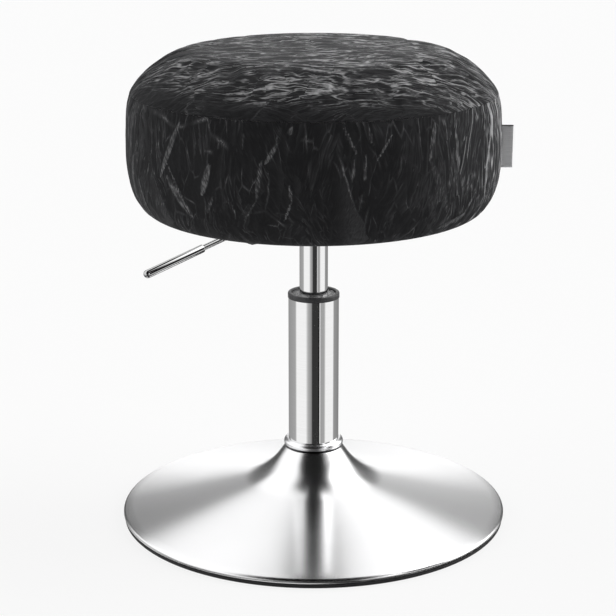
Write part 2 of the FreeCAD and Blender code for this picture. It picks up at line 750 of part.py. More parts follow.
def tub(half_width, corner, floor, top):
    """Round-ended trough along +X, open towards the lever, with rounded lower edges."""
    reach = PLATE_SIZE / 2
    back = -CHANNEL_BACK
    knee = corner * math.sqrt(0.5)
    rounding = Part.Arc(
        Vector(back, half_width, floor + corner),
        Vector(back, half_width - corner + knee, floor + corner - knee),
        Vector(back, half_width - corner, floor),
    ).toShape()
    corners = [
        Vector(back, half_width - corner, floor),
        Vector(back, 0, floor),
        Vector(back, 0, top),
        Vector(back, half_width, top),
        Vector(back, half_width, floor + corner),
    ]
    sides = [Part.makeLine(a, b) for a, b in zip(corners, corners[1:])]
    half = Part.Face(Part.Wire(Part.sortEdges([rounding] + sides)[0]))
    round_end = half.revolve(Vector(back, 0, 0), UP, 180)
    run = half.extrude(Vector(reach - back, 0, 0))
    other = run.mirror(Vector(0, 0, 0), Vector(0, 1, 0))
    return round_end.fuse([run, other]).removeSplitter()


def rounded_square(size, corner, bottom, top):
    """Square block with rounded upright edges."""
    block = Part.makeBox(size, size, top - bottom, Vector(-size / 2, -size / 2, bottom))
    upright = [e for e in block.Edges if abs(e.tangentAt(e.FirstParameter).z) > 0.9]
    return block.makeFillet(corner, upright)


def screw_places():
    """Centres of the four seat screws, in the plate's own directions."""
    half = SCREW_SPACING / 2
    return [Vector(x, y, 0) for x in (-half, half) for y in (-half, half)]


def drilled(shape, radius, bottom, top):
    """A shape with a hole at each screw place."""
    holes = [Part.makeCylinder(radius, top - bottom, p + UP * bottom) for p in screw_places()]
    return shape.cut(holes)


def channel_floor():
    """Height of the inside of the channel's floor."""
    return SOCKET_TOP - CHANNEL_FLOOR_BELOW_SOCKET_TOP


def seat_plate():
    """Pressed steel plate: turned-down edge, lever channel, socket hole and screw holes."""
    low = PLATE_TOP - PLATE_WALL - PLATE_SKIRT
    plate = rounded_square(PLATE_SIZE, PLATE_CORNER, low, PLATE_TOP)
    hollow = rounded_square(
        PLATE_SIZE - 2 * PLATE_WALL,
        PLATE_CORNER - PLATE_WALL,
        low,
        PLATE_TOP - PLATE_WALL,
    )
    floor = channel_floor()
    half = CHANNEL_WIDTH / 2
    outer = tub(half + PLATE_WALL, CHANNEL_CORNER, floor - PLATE_WALL, PLATE_TOP)
    inner = tub(half, CHANNEL_CORNER - PLATE_WALL, floor, PLATE_TOP)
    plate = plate.cut(hollow).fuse(outer).cut(inner)
    plate = plate.cut(Part.makeCylinder(SOCKET_RADIUS, PLATE_TOP, Vector(0, 0, 0)))
    plate = drilled(plate, SCREW_HOLE_RADIUS, low, PLATE_TOP)
    plate = plate.cut(pivot_bar(PIVOT_PIN_RADIUS, half + 2 * PLATE_WALL))
    return heading_turned(plate.removeSplitter())


def pivot_bar(radius, half_length):
    """Round bar across the channel on the lever's pivot."""
    return cylinder_along(
        radius,
        Vector(LEVER_PIVOT, -half_length, LEVER_AXIS),
        Vector(LEVER_PIVOT, half_length, LEVER_AXIS),
    )


def lever_pin():
    """Headed pin through the channel's walls, on which the lever turns."""
    wall = CHANNEL_WIDTH / 2 + PLATE_WALL
    shank = pivot_bar(PIVOT_PIN_RADIUS, wall + PIVOT_PIN_HEAD)
    head = cylinder_along(
        PIVOT_PIN_HEAD_RADIUS,
        Vector(LEVER_PIVOT, -wall - PIVOT_PIN_HEAD, LEVER_AXIS),
        Vector(LEVER_PIVOT, -wall, LEVER_AXIS),
    )
    return heading_turned(shank.fuse(head).removeSplitter())


def lever_outer_line():
    """The bend's two ends, and the outer run's start and unit direction."""
    drop = math.radians(LEVER_BEND_ANGLE)
    cut_back = LEVER_BEND_RADIUS * math.tan(drop / 2)
    outward = Vector(math.cos(drop), 0, -math.sin(drop))
    corner = Vector(LEVER_BEND_AT, 0, LEVER_AXIS)
    return corner - Vector(cut_back, 0, 0), corner + outward * cut_back, corner, outward


def along_lever(distance):
    """The point of the lever's sloping run at a distance from the column's axis in plan."""
    _, _, corner, outward = lever_outer_line()
    return corner + outward * ((distance - LEVER_BEND_AT) / outward.x)


def lever_rod():
    """Bent steel rod with the cross tube that it turns on."""
    bend_in, bend_out, _, outward = lever_outer_line()
    start = Vector(-LEVER_TIP, 0, LEVER_AXIS)
    end = along_lever(GRIP_START) + outward * GRIP_OVERLAP
    drop = math.radians(LEVER_BEND_ANGLE)
    centre = bend_in - UP * LEVER_BEND_RADIUS
    middle = centre + Vector(math.sin(drop / 2), 0, math.cos(drop / 2)) * LEVER_BEND_RADIUS
    path = Part.Wire(
        [
            Part.makeLine(start, bend_in),
            Part.Arc(bend_in, middle, bend_out).toShape(),
            Part.makeLine(bend_out, end),
        ]
    )
    section = Part.Wire(Part.makeCircle(LEVER_RADIUS, start, Vector(1, 0, 0)))
    rod = path.makePipeShell([section], True, False)
    tube = pivot_bar(PIVOT_TUBE_RADIUS, CHANNEL_WIDTH / 2 - LOOSE)
    bore = pivot_bar(PIVOT_PIN_RADIUS + RUNNING, CHANNEL_WIDTH / 2)
    return heading_turned(rod.fuse(tube).cut(bore).removeSplitter())


def lever_grip():
    """Bright sleeve on the end of the lever, rounded at its tip."""
    _, _, _, outward = lever_outer_line()
    tip = GRIP_LENGTH - GRIP_RADIUS
    body = Path(GRIP_RADIUS - GRIP_COLLAR, 0, 0)
    body.bend(GRIP_COLLAR, 90)
    body.run(tip - GRIP_COLLAR)
    body.bend(GRIP_RADIUS, 90)
    grip = turned(body.closed_through((0, 0)))
    bore = Part.makeCylinder(LEVER_RADIUS + RUNNING, GRIP_OVERLAP + LOOSE)
    grip = grip.cut(bore)
    grip.rotate(Vector(0, 0, 0), Vector(0, 1, 0), 90 + LEVER_BEND_ANGLE)
    grip.translate(along_lever(GRIP_START))
    return heading_turned(grip)


def seat_dome(inset):
    """Everything under the crowned top panel, moved inwards by inset."""
    round_turn = CROWN_SEAM_SLOPE - CROWN_MIDDLE_SLOPE
    slope = math.radians(CROWN_SEAM_SLOPE)
    middle = math.radians(CROWN_MIDDLE_SLOPE)
    seam_radius = SEAT_RADIUS - SEAM_SETBACK
    shoulder_start = seam_radius - CROWN_ROUND * (math.sin(slope) - math.sin(middle))
    shoulder_drop = CROWN_ROUND * (math.cos(middle) - math.cos(slope))
    middle_radius = shoulder_start / math.sin(middle)
    middle_drop = middle_radius * (1 - math.cos(middle))
    top = SEAM_Z + shoulder_drop + middle_drop
    path = Path(0, top - inset, 0)
    path.bend(middle_radius - inset, -CROWN_MIDDLE_SLOPE)
    path.bend(CROWN_ROUND - inset, -round_turn - CROWN_OVERRUN)
    end = path.place.x
    return turned(path.closed_through((end, SEAT_BOTTOM + inset), (0, SEAT_BOTTOM + inset)))


def seat_side(inset):
    """Everything inside the side band, moved inwards by inset."""
    rise = SEAM_HEIGHT - BULGE_HEIGHT
    upper_radius = (rise**2 + SEAM_SETBACK**2) / (2 * SEAM_SETBACK)
    upper_turn = math.degrees(math.asin(rise / upper_radius))
    # Two tangent arcs carry the side under the seat
    long_drop = BULGE_HEIGHT - EDGE_ROUND
    long_inset = FLAT_SETBACK - EDGE_ROUND
    lower_turn = 2 * math.degrees(math.atan2(long_inset, long_drop))
    lower_radius = EDGE_ROUND + long_drop / math.sin(math.radians(lower_turn))
    start_turn = math.radians(upper_turn + SIDE_OVERRUN)
    centre = SEAT_RADIUS - upper_radius
    path = Path(
        centre + (upper_radius - inset) * math.cos(start_turn),
        BULGE_Z + (upper_radius - inset) * math.sin(start_turn),
        math.degrees(start_turn) - 90,
    )
    head = at(path.place.x, SEAM_Z + CROWN_ROUND)
    path.bend(upper_radius - inset, -upper_turn - SIDE_OVERRUN)
    path.bend(lower_radius - inset, -lower_turn)
    path.bend(EDGE_ROUND - inset, lower_turn - 90)
    return turned(path.closed_through((0, SEAT_BOTTOM + inset), (0, head.z), (head.x, head.z)))


def cushion(inset):
    """The whole seat's outer form, moved inwards by inset."""
    return seat_dome(inset).common(seat_side(inset))


def seat_skin():
    """The cover as one shell, with a groove where its panels are sewn together."""
    skin = cushion(0).cut(cushion(COVER_WALL))
    skin = skin.cut(Part.makeCylinder(HEM_RADIUS, BOARD_BOTTOM, Vector(0, 0, 0)))
    groove = Part.makeTorus(SEAT_RADIUS - SEAM_SETBACK, SEAM_GROOVE, Vector(0, 0, SEAM_Z), UP)
    return skin.cut(groove)


def above_seam():
    """Block that holds everything above the seam."""
    return Part.makeCylinder(2 * SEAT_RADIUS, SEAT_RADIUS, Vector(0, 0, SEAM_Z))


def seat_cover_top():
    """Crowned round panel of the cover."""
    return seat_skin().common(above_seam())


def seat_cover_band():
    """Side band of the cover, turned in under the board."""
    return seat_skin().cut(above_seam())


def seat_board():
    """Plywood board with holes for the tee nuts."""
    board = ring(0, SEAT_CORE_RADIUS, BOARD_BOTTOM, BOARD_TOP)
    board = drilled(board, TEE_BARREL_RADIUS + RUNNING, BOARD_BOTTOM, BOARD_TOP)
    recess = TEE_FLANGE_RADIUS + LOOSE
    board = drilled(board, recess, BOARD_TOP - TEE_FLANGE_WALL, BOARD_TOP)
    return heading_turned(board)


def foam_pad():
    """Foam block that fills the cover and wraps the edge of the board."""
    return cushion(COVER_WALL).cut(ring(0, SEAT_CORE_RADIUS, SEAT_BOTTOM, BOARD_TOP))


def dust_cover():
    """Thin black cloth under the board, lapped over the hem of the cover."""
    step = HEM_RADIUS - LOOSE
    wall = DUST_COVER_WALL
    cloth = turned_polygon(
        (0, PLATE_TOP),
        (step - wall, PLATE_TOP),
        (step - wall, SEAT_BOTTOM - wall),
        (DUST_COVER_RADIUS, SEAT_BOTTOM - wall),
        (DUST_COVER_RADIUS, SEAT_BOTTOM),
        (step, SEAT_BOTTOM),
        (step, BOARD_BOTTOM),
        (0, BOARD_BOTTOM),
    )
    return heading_turned(drilled(cloth, SCREW_HOLE_RADIUS, PLATE_TOP, BOARD_BOTTOM))


def label_tab():
    """Bare folded ribbon sewn into the closing seam of the band, on the right."""
    reach = SEAT_RADIUS + TAB_STANDOUT
    middle = BULGE_Z + TAB_ABOVE_BULGE
    ribbon = Part.makeBox(
        reach - SEAT_RADIUS / 2 - TAB_WALL / 2,
        TAB_WALL,
        TAB_HEIGHT,
        Vector(SEAT_RADIUS / 2, -TAB_WALL / 2, middle - TAB_HEIGHT / 2),
    )
    fold = Part.makeCylinder(
        TAB_WALL / 2,
        TAB_HEIGHT,
        Vector(reach - TAB_WALL / 2, 0, middle - TAB_HEIGHT / 2),
    )
    ribbon = ribbon.fuse(fold).removeSplitter()
    return ribbon.cut(seat_side(-RUNNING))


def seat_screws():
    """Four socket-head screws that hold the plate to the board."""
    head_top = PLATE_TOP - PLATE_WALL - WASHER_WALL
    tip = BOARD_TOP - SCREW_TIP_SHORT
    shank = Part.makeCylinder(SCREW_RADIUS, tip - head_top, Vector(0, 0, head_top))
    head_end = head_top - SCREW_HEAD_HEIGHT
    head = Part.makeCylinder(SCREW_HEAD_RADIUS, SCREW_HEAD_HEIGHT, Vector(0, 0, head_end))
    rim = [e for e in head.Edges if abs(e.BoundBox.ZMax - head_end) < 1e-6]
    head = head.makeFillet(SCREW_HEAD_HEIGHT / 2, rim)
    corners = [
        Vector(
            SCREW_SOCKET * math.cos(k * math.pi / 3),
            SCREW_SOCKET * math.sin(k * math.pi / 3),
            head_end,
        )
        for k in range(7)
    ]
    socket = Part.Face(Part.makePolygon(corners)).extrude(UP * (SCREW_HEAD_HEIGHT / 2))
    screw = shank.fuse(head).cut(socket).removeSplitter()
    return at_screw_places(screw)


def seat_washers():
    """Four washers under the screw heads."""
    top = PLATE_TOP - PLATE_WALL
    return at_screw_places(ring(SCREW_RADIUS + RUNNING, WASHER_RADIUS, top - WASHER_WALL, top))


def tee_nuts():
    """Four tee nuts pressed into the board from above."""
    bore = SCREW_RADIUS + RUNNING
    flange = ring(bore, TEE_FLANGE_RADIUS, BOARD_TOP - TEE_FLANGE_WALL, BOARD_TOP)
    low = BOARD_TOP - TEE_FLANGE_WALL - TEE_BARREL_LENGTH
    barrel = ring(bore, TEE_BARREL_RADIUS, low, BOARD_TOP)
    return at_screw_places(flange.fuse(barrel).removeSplitter())


def at_screw_places(shape):
    """A copy of a shape at each screw place, turned with the plate."""
    copies = []
    for place in screw_places():
        copy = shape.copy()
        copy.translate(place)
        copies.append(heading_turned(copy))
    return Part.makeCompound(copies)


PIECES = [
    trumpet_base,
    floor_ring,
    base_hub,
    hub_gusset,
    trim_ring,
    column_tube,
    collar_cap,
    column_guide,
    end_plate,
    lower_race,
    bearing_balls,
    bearing_cage,
    upper_race,
    piston_rod,
    rod_clip,
    end_washer,
    rubber_buffer,
    piston,
    piston_seal,
    gas_cylinder,
    rod_guide,
    rod_seal,
    pressure_tube,
    valve_body,
    valve_seal,
    release_pin,
    plate_socket,
    seat_plate,
    seat_screws,
    seat_washers,
    tee_nuts,
    lever_pin,
    lever_rod,
    lever_grip,
    seat_board,
    foam_pad,
    seat_cover_top,
    seat_cover_band,
    dust_cover,
    label_tab,
]


def main():
    """Writes one STEP file for each piece."""
    os.makedirs("parts", exist_ok=True)
    for piece in PIECES:
        shape = piece()
        shape.exportStep(f"parts/{piece.__name__}.step")
        box = shape.optimalBoundingBox(False)
        print(
            f"{piece.__name__:16s} solids {len(shape.Solids):2d} valid {shape.isValid()}"
            f" volume {shape.Volume:11.1f} z {box.ZMin:7.2f} to {box.ZMax:7.2f}"
        )


main()
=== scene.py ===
"""Dresses the swivel vanity stool: crushed velvet seat, chromed lift and spun trumpet base.

Sizes are in metres in the frame's own axes: +Z is up, the front faces -Y and the ribbon is on the right, +X.
"""

import json
import math
import random
from functools import partial

import bmesh
import bpy
import numpy as np
from mathutils import Matrix, Vector

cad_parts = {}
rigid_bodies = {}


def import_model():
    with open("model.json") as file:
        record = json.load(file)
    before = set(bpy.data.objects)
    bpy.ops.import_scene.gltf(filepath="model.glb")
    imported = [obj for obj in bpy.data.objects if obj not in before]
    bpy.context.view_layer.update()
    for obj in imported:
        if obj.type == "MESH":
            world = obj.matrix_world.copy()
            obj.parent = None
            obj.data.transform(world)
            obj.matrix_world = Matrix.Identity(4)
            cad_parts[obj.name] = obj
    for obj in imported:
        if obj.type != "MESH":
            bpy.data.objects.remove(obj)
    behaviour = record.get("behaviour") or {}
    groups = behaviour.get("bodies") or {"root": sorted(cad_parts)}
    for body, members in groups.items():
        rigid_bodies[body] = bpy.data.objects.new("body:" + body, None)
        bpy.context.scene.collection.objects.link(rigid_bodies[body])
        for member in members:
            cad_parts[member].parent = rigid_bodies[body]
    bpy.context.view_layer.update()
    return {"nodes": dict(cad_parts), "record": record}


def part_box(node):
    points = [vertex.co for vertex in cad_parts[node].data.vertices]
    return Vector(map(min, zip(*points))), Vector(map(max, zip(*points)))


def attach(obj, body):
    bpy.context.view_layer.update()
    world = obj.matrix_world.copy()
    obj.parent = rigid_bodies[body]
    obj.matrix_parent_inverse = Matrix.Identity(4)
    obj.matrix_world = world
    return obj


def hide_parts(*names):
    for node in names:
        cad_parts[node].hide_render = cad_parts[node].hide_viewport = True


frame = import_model()
nodes = frame["nodes"]
scene = bpy.context.scene

# Seat cover
SEAT_RADIUS = 0.1793
SEAT_BOTTOM = 0.3174
SEAM_RADIUS = 0.1762
SEAM_Z = 0.4314
BULGE_Z = 0.3740
FLAT_RADIUS = 0.1507
HEM_RADIUS = 0.1208
EDGE_ROUND = 0.022
CROWN_ROUND = 0.079
CROWN_SEAM_SLOPE = math.radians(59)
CROWN_MIDDLE_SLOPE = math.radians(3)
CLOTH_WALL = 0.0012
DUST_WALL = 0.0008
SEAM_FOLD = 0.0008
SEAM_TUCK = 0.0032
SEWN_STRIP = 0.004
SWELL_CAP = 0.0016
SWELL_STEPS = 20
SWELL = {
    "quality": 6, "mass": 0.3, "tension_stiffness": 20, "compression_stiffness": 8, "shear_stiffness": 6,
    "bending_stiffness": 0.6, "use_pressure": True, "uniform_pressure_force": 4.0, "shrink_min": -0.02,
}

# Lift and base
COLUMN_RADIUS = 0.025
COLUMN_TOP = 0.2264
TUBE_BORE = 0.0235
TAPER_RUN = 40
SEAT_UNDERSIDE = 0.290
HUB_RADIUS = 0.0275
NECK_ROUND = 0.002
NECK_HEIGHT = 0.072
# Heights of the bead's painted shade line: near black below the first, plain plating above the second
BEAD_SHADE_LINE = (NECK_HEIGHT + 0.0018, NECK_HEIGHT + 0.0026)
BASE_RADIUS = 0.1925
LEVER_HEADING = math.radians(217.3)
LEVER_AXIS_Z = 0.31075
LEVER_DROP = math.radians(14)

# Metal and studio tones
PLATING = (0.83, 0.83, 0.84)
FLOOR_WHITE = 0.82


# Mesh helpers

def placed_mesh(name, bm):
    """Makes an object of a bmesh, in its place."""
    mesh = bpy.data.meshes.new(name)
    bm.to_mesh(mesh)
    bm.free()
    item = bpy.data.objects.new(name, mesh)
    scene.collection.objects.link(item)
    return item


def new_piece(name, bm, body, material, replaced=(), crease=None):
    """Makes a piece of a bmesh, on its body and finish; edges above the crease angle stay sharp."""
    piece = placed_mesh(name, bm)
    for face in piece.data.polygons:
        face.use_smooth = True
    if crease is not None:
        piece.data.set_sharp_from_angle(angle=math.radians(crease))
    piece.data.materials.append(material)
    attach(piece, body)
    if replaced:
        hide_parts(*replaced)
    return piece


def line_of(bm, points, closed=False):
    """A chain of edges through (radius, height) points, ready to be spun."""
    chain = [bm.verts.new((radius, 0, height)) for radius, height in points]
    for first, second in zip(chain, chain[1:]):
        bm.edges.new((first, second))
    if closed:
        bm.edges.new((chain[-1], chain[0]))


def spun(points, steps, closed=True):
    """A bmesh made by spinning a profile once round the column's axis."""
    bm = bmesh.new()
    line_of(bm, points, closed)
    bmesh.ops.spin(
        bm,
        geom=bm.verts[:] + bm.edges[:],
        cent=(0, 0, 0),
        axis=(0, 0, 1),
        angle=2 * math.pi,
        steps=steps,
        use_merge=True,
        use_duplicate=False,
    )
    bmesh.ops.remove_doubles(bm, verts=bm.verts[:], dist=1e-6)
    bmesh.ops.recalc_face_normals(bm, faces=bm.faces[:])
    return bm


def pulled(bm, edges):
    """Extrudes a row of edges: the new points and the new edges between them."""
    grown = bmesh.ops.extrude_edge_only(bm, edges=edges)["geom"]
    verts = [part for part in grown if isinstance(part, bmesh.types.BMVert)]
    rim = [part for part in grown if isinstance(part, bmesh.types.BMEdge) and all(v in verts for v in part.verts)]
    return verts, rim


def arc(centre, radius, start, end, count):
    """Points of an arc in the profile plane; the angles are in radians, counted up from the outward direction."""
    sweep = (end - start) / count
    return [
        (
            centre[0] + radius * math.cos(start + step * sweep),
            centre[1] + radius * math.sin(start + step * sweep),
        )
        for step in range(count + 1)
    ]


def arc_through(first, middle, last, count):
    """Points of the arc through three points of the profile plane."""
    (ax, ay), (bx, by), (cx, cy) = first, middle, last
    span = 2 * (ax * (by - cy) + bx * (cy - ay) + cx * (ay - by))
    squares = [x * x + y * y for x, y in (first, middle, last)]
    centre = (
        (squares[0] * (by - cy) + squares[1] * (cy - ay) + squares[2] * (ay - by)) / span,
        (squares[0] * (cx - bx) + squares[1] * (ax - cx) + squares[2] * (bx - ax)) / span,
    )
    start = math.atan2(ay - centre[1], ax - centre[0])
    end = math.atan2(cy - centre[1], cx - centre[0])
    return arc(centre, math.hypot(ax - centre[0], ay - centre[1]), start, end, count)


def between(first, last, count):
    """The points that cut a straight line into equal parts, without its ends."""
    return [
        (first[0] + (last[0] - first[0]) * k / count, first[1] + (last[1] - first[1]) * k / count)
        for k in range(1, count)
    ]


def ramped(value, start, run):
    """Grows from 0 to 1 while a value goes on by a run from its start."""
    return np.clip((value - start) / run, 0, 1)


# Node helpers

class Finish:
    """A material under construction, with its Principled shader."""

    def __init__(self, name, colour, roughness, metallic=0.0, **sockets):
        self.material = bpy.data.materials.new(name)
        self.material.use_nodes = True
        self.material.diffuse_color = (*colour, 1)
        self.tree = self.material.node_tree
        self.shader = self.tree.nodes["Principled BSDF"]
        self.feed("Base Color", (*colour, 1))
        self.feed("Roughness", roughness)
        self.feed("Metallic", metallic)
        for socket, value in sockets.items():
            self.feed(socket.replace("_", " "), value)

    def feed(self, socket, value):
        plug(self.tree, self.shader.inputs[socket], value)

    def add(self, kind, inputs=None, **settings):
        return add_node(self.tree, kind, inputs, **settings)


def plug(tree, socket, value):
    """Links an output to an input, or sets the input's value."""
    if isinstance(value, bpy.types.NodeSocket):
        tree.links.new(value, socket)
    else:
        socket.default_value = value


def add_node(tree, kind, inputs=None, **settings):
    """Adds a node, sets its properties, and sets or links its inputs."""
    node = tree.nodes.new(kind)
    for key, value in settings.items():
        setattr(node, key, value)
    for key, value in (inputs or {}).items():
        plug(tree, node.inputs[key], value)
    return node


def ramp(tree, factor, stops):
    """A colour ramp through (place, grey or colour) stops."""
    node = add_node(tree, "ShaderNodeValToRGB", {"Fac": factor})
    elements = node.color_ramp.elements
    for index, (place, colour) in enumerate(stops):
        if index < 2:
            element = elements[index]
            element.position = place
        else:
            element = elements.new(place)
        if isinstance(colour, (int, float)):
            colour = (colour, colour, colour)
        element.color = (*colour, 1)
    return node.outputs["Color"]


def maths(tree, operation, first, second=0.0, clamp=False):
    """One Math node."""
    return add_node(tree, "ShaderNodeMath", {0: first, 1: second}, operation=operation, use_clamp=clamp).outputs[0]


def vectors(tree, operation, inputs, output="Vector"):
    """One Vector Math node."""
    return add_node(tree, "ShaderNodeVectorMath", inputs, operation=operation).outputs[output]


def blend(tree, factor, first, second):
    """Mixes two colours by a factor."""
    first, second = (side if isinstance(side, bpy.types.NodeSocket) else (*side, 1) for side in (first, second))
    return add_node(tree, "ShaderNodeMix", {0: factor, 6: first, 7: second}, data_type="RGBA").outputs[2]


def smooth_step(tree, value, low, high, start=0.0, end=1.0):
    """Runs smoothly from start to end while a value runs from low to high."""
    limits = {"Value": value, "From Min": low, "From Max": high, "To Min": start, "To Max": end}
    return add_node(tree, "ShaderNodeMapRange", limits, interpolation_type="SMOOTHSTEP").outputs["Result"]


def noise_field(tree, place, scale=1.0, detail=2.0, roughness=0.55, output="Fac", **more):
    """One noise texture."""
    inputs = {"Vector": place, "Scale": scale, "Detail": detail, "Roughness": roughness, **more}
    return add_node(tree, "ShaderNodeTexNoise", inputs).outputs[output]


def own_place(tree):
    """The Object coordinates of the piece."""
    return add_node(tree, "ShaderNodeTexCoord").outputs["Object"]


def stretched(tree, place, scale):
    """A place with each of its axes scaled."""
    return add_node(tree, "ShaderNodeMapping", {"Vector": place, "Scale": scale}).outputs["Vector"]


def axes(tree, place):
    """The X, Y and Z of a place."""
    return add_node(tree, "ShaderNodeSeparateXYZ", {"Vector": place}).outputs


def group_of(name, inputs, outputs):
    """An empty node group: its inputs by name with their values, None for a vector, and its value outputs."""
    tree = bpy.data.node_groups.new(name, "ShaderNodeTree")
    for label, value in inputs.items():
        kind = "NodeSocketVector" if value is None else "NodeSocketFloat"
        socket = tree.interface.new_socket(label, in_out="INPUT", socket_type=kind)
        if value is not None:
            socket.default_value = value
    for label in outputs:
        tree.interface.new_socket(label, in_out="OUTPUT", socket_type="NodeSocketFloat")
    return tree, tree.nodes.new("NodeGroupInput").outputs, tree.nodes.new("NodeGroupOutput").inputs


def placed(finish, tree, inputs):
    """Places a node group in a material and gives its outputs."""
    return finish.add("ShaderNodeGroup", inputs, node_tree=tree).outputs


def bumped(finish, height, strength, distance):
    """Feeds a height through a Bump node to the shader's normal."""
    bump = finish.add("ShaderNodeBump", {"Height": height, "Strength": strength, "Distance": distance})
    finish.feed("Normal", bump.outputs["Normal"])


# Shared surface effects

def make_handling():
    """Soft smears left by hands and cloths: a mask, and a roughness round a given level."""
    tree, source, result = group_of(
        "handling_marks", {"Scale": 18.0, "Level": 0.1, "Spread": 0.05}, ["Smear", "Roughness"]
    )
    broad = noise_field(tree, own_place(tree), source["Scale"], 5.0, 0.62, Distortion=0.6)
    smear = smooth_step(tree, broad, 0.35, 0.7)
    centred = maths(tree, "SUBTRACT", smear, 0.4)
    level = maths(tree, "ADD", maths(tree, "MULTIPLY", centred, source["Spread"]), source["Level"])
    tree.links.new(smear, result["Smear"])
    tree.links.new(maths(tree, "MAXIMUM", level, 0.015), result["Roughness"])
    return tree


def make_turned_rings():
    """Fine rings left by a lathe round the column's axis: a value that changes with radius and height."""
    tree, source, result = group_of("turned_rings", {"Rings per Metre": 900.0, "Waver": 0.6}, ["Rings"])
    parts = axes(tree, own_place(tree))
    flat = add_node(tree, "ShaderNodeCombineXYZ", {"X": parts["X"], "Y": parts["Y"]}).outputs[0]
    radius = vectors(tree, "LENGTH", {0: flat}, "Value")
    turn = vectors(tree, "SCALE", {0: vectors(tree, "NORMALIZE", {0: flat}), "Scale": source["Waver"]})
    across = maths(tree, "MULTIPLY", radius, source["Rings per Metre"])
    along = maths(tree, "MULTIPLY", parts["Z"], source["Rings per Metre"])
    spread = add_node(tree, "ShaderNodeCombineXYZ", {"X": across, "Z": along}).outputs[0]
    spot = vectors(tree, "ADD", {0: spread, 1: turn})
    tree.links.new(noise_field(tree, spot, 1.0, 3.0, 0.7), result["Rings"])
    return tree


def make_moulded_grain():
    """Fine grain of moulded plastic, rubber and powder coat: a height and a mask of its pits."""
    tree, source, result = group_of("moulded_grain", {"Scale": 1500.0}, ["Height", "Pits"])
    grain = noise_field(tree, own_place(tree), source["Scale"], 3.0)
    tree.links.new(grain, result["Height"])
    tree.links.new(smooth_step(tree, grain, 0.4, 0.62), result["Pits"])
    return tree


def make_woven_threads():
    """Plain weave over a surface: a height and a mask of the gaps between threads."""
    tree, source, result = group_of(
        "woven_threads", {"Vector": None, "Threads per Metre": 1600.0}, ["Height", "Gaps"]
    )
    parts = axes(tree, source["Vector"])
    waves = []
    for axis in ("X", "Y"):
        phase = maths(tree, "MULTIPLY", parts[axis], source["Threads per Metre"])
        waves.append(maths(tree, "ABSOLUTE", maths(tree, "SINE", maths(tree, "MULTIPLY", phase, math.pi))))
    height = maths(tree, "MAXIMUM", *waves)
    tree.links.new(height, result["Height"])
    tree.links.new(maths(tree, "SUBTRACT", 1.0, height, clamp=True), result["Gaps"])
    return tree


HANDLING = make_handling()
TURNED_RINGS = make_turned_rings()
MOULDED_GRAIN = make_moulded_grain()
WOVEN_THREADS = make_woven_threads()


def handled(finish, scale, level, spread):
    """Lets handling marks vary a finish's roughness round a level, and gives their mask."""
    marks = placed(finish, HANDLING, {"Scale": scale, "Level": level, "Spread": spread})
    finish.feed("Roughness", marks["Roughness"])
    return marks["Smear"]


def ringed(finish, per_metre, waver):
    """The value of the turned rings in a material."""
    return placed(finish, TURNED_RINGS, {"Rings per Metre": per_metre, "Waver": waver})["Rings"]


def shaded(colour, share):
    """A share of a colour's brightness."""
    return tuple(share * channel for channel in colour)


# Finishes

def polished_chrome(name="polished_chrome", share=1.0):
    """Mirror plating with faint smears; a share below 1 darkens the plating as painted shade."""
    finish = Finish(name, shaded(PLATING, share), 0.06, 1.0)
    handled(finish, 24.0, 0.055, 0.05)
    low, high = 0.79 * share, 0.87 * share
    rings = ringed(finish, 1400.0, 0.5)
    finish.feed("Base Color", blend(finish.tree, rings, (low, low, low), (high, high, high)))
    return finish.material


def bead_chrome_painted_shade():
    """Softer plating with painted shade: it turns near black in a line where the bead meets the neck."""
    finish = Finish("bead_chrome_painted_shade", PLATING, 0.25, 1.0)
    # Painted shade: the shadow in the gap at the bead's foot, painted near black into the plating
    clear = smooth_step(finish.tree, axes(finish.tree, own_place(finish.tree))["Z"], *BEAD_SHADE_LINE)
    finish.feed("Base Color", blend(finish.tree, clear, (0.012, 0.012, 0.013), PLATING))
    handled(finish, 24.0, 0.24, 0.03)
    return finish.material


def satin_chrome():
    """Spun and satin-brushed plating: the brush runs round the axis."""
    finish = Finish("satin_chrome", (0.80, 0.80, 0.81), 0.26, 1.0, Anisotropic=0.85, Anisotropic_Rotation=0.25)
    rings = ringed(finish, 1300.0, 1.2)
    marks = placed(finish, HANDLING, {"Scale": 9.0, "Level": 0.23, "Spread": 0.03})
    brushed = maths(finish.tree, "MULTIPLY", rings, 0.02)
    finish.feed("Roughness", maths(finish.tree, "ADD", marks["Roughness"], brushed))
    tone = blend(finish.tree, rings, (0.785, 0.785, 0.79), (0.815, 0.815, 0.82))
    finish.feed("Base Color", tone)
    round_axis = finish.add("ShaderNodeTangent", direction_type="RADIAL", axis="Z")
    finish.feed("Tangent", round_axis.outputs["Tangent"])
    bumped(finish, rings, 0.006, 0.0002)
    return finish.material


def grained(name, colour, roughness, scale, strength):
    """A moulded, rubbed or powder-coated finish: grain, pits and handling marks."""
    finish = Finish(name, colour, roughness)
    grain = placed(finish, MOULDED_GRAIN, {"Scale": scale})
    smear = handled(finish, 30.0, roughness, 0.12)
    pale = tuple(1.25 * channel + 0.004 for channel in colour)
    tone = blend(finish.tree, grain["Pits"], colour, pale)
    finish.feed("Base Color", blend(finish.tree, smear, tone, pale))
    bumped(finish, grain["Height"], strength, 0.0003)
    return finish.material


def turned_metal(name, colour, roughness, rings_per_metre):
    """Lathe-turned or drawn metal."""
    finish = Finish(name, colour, roughness, 1.0)
    rings = ringed(finish, rings_per_metre, 0.4)
    handled(finish, 60.0, roughness, 0.15)
    finish.feed("Base Color", blend(finish.tree, rings, shaded(colour, 0.82), colour))
    bumped(finish, rings, 0.2, 0.0002)
    return finish.material


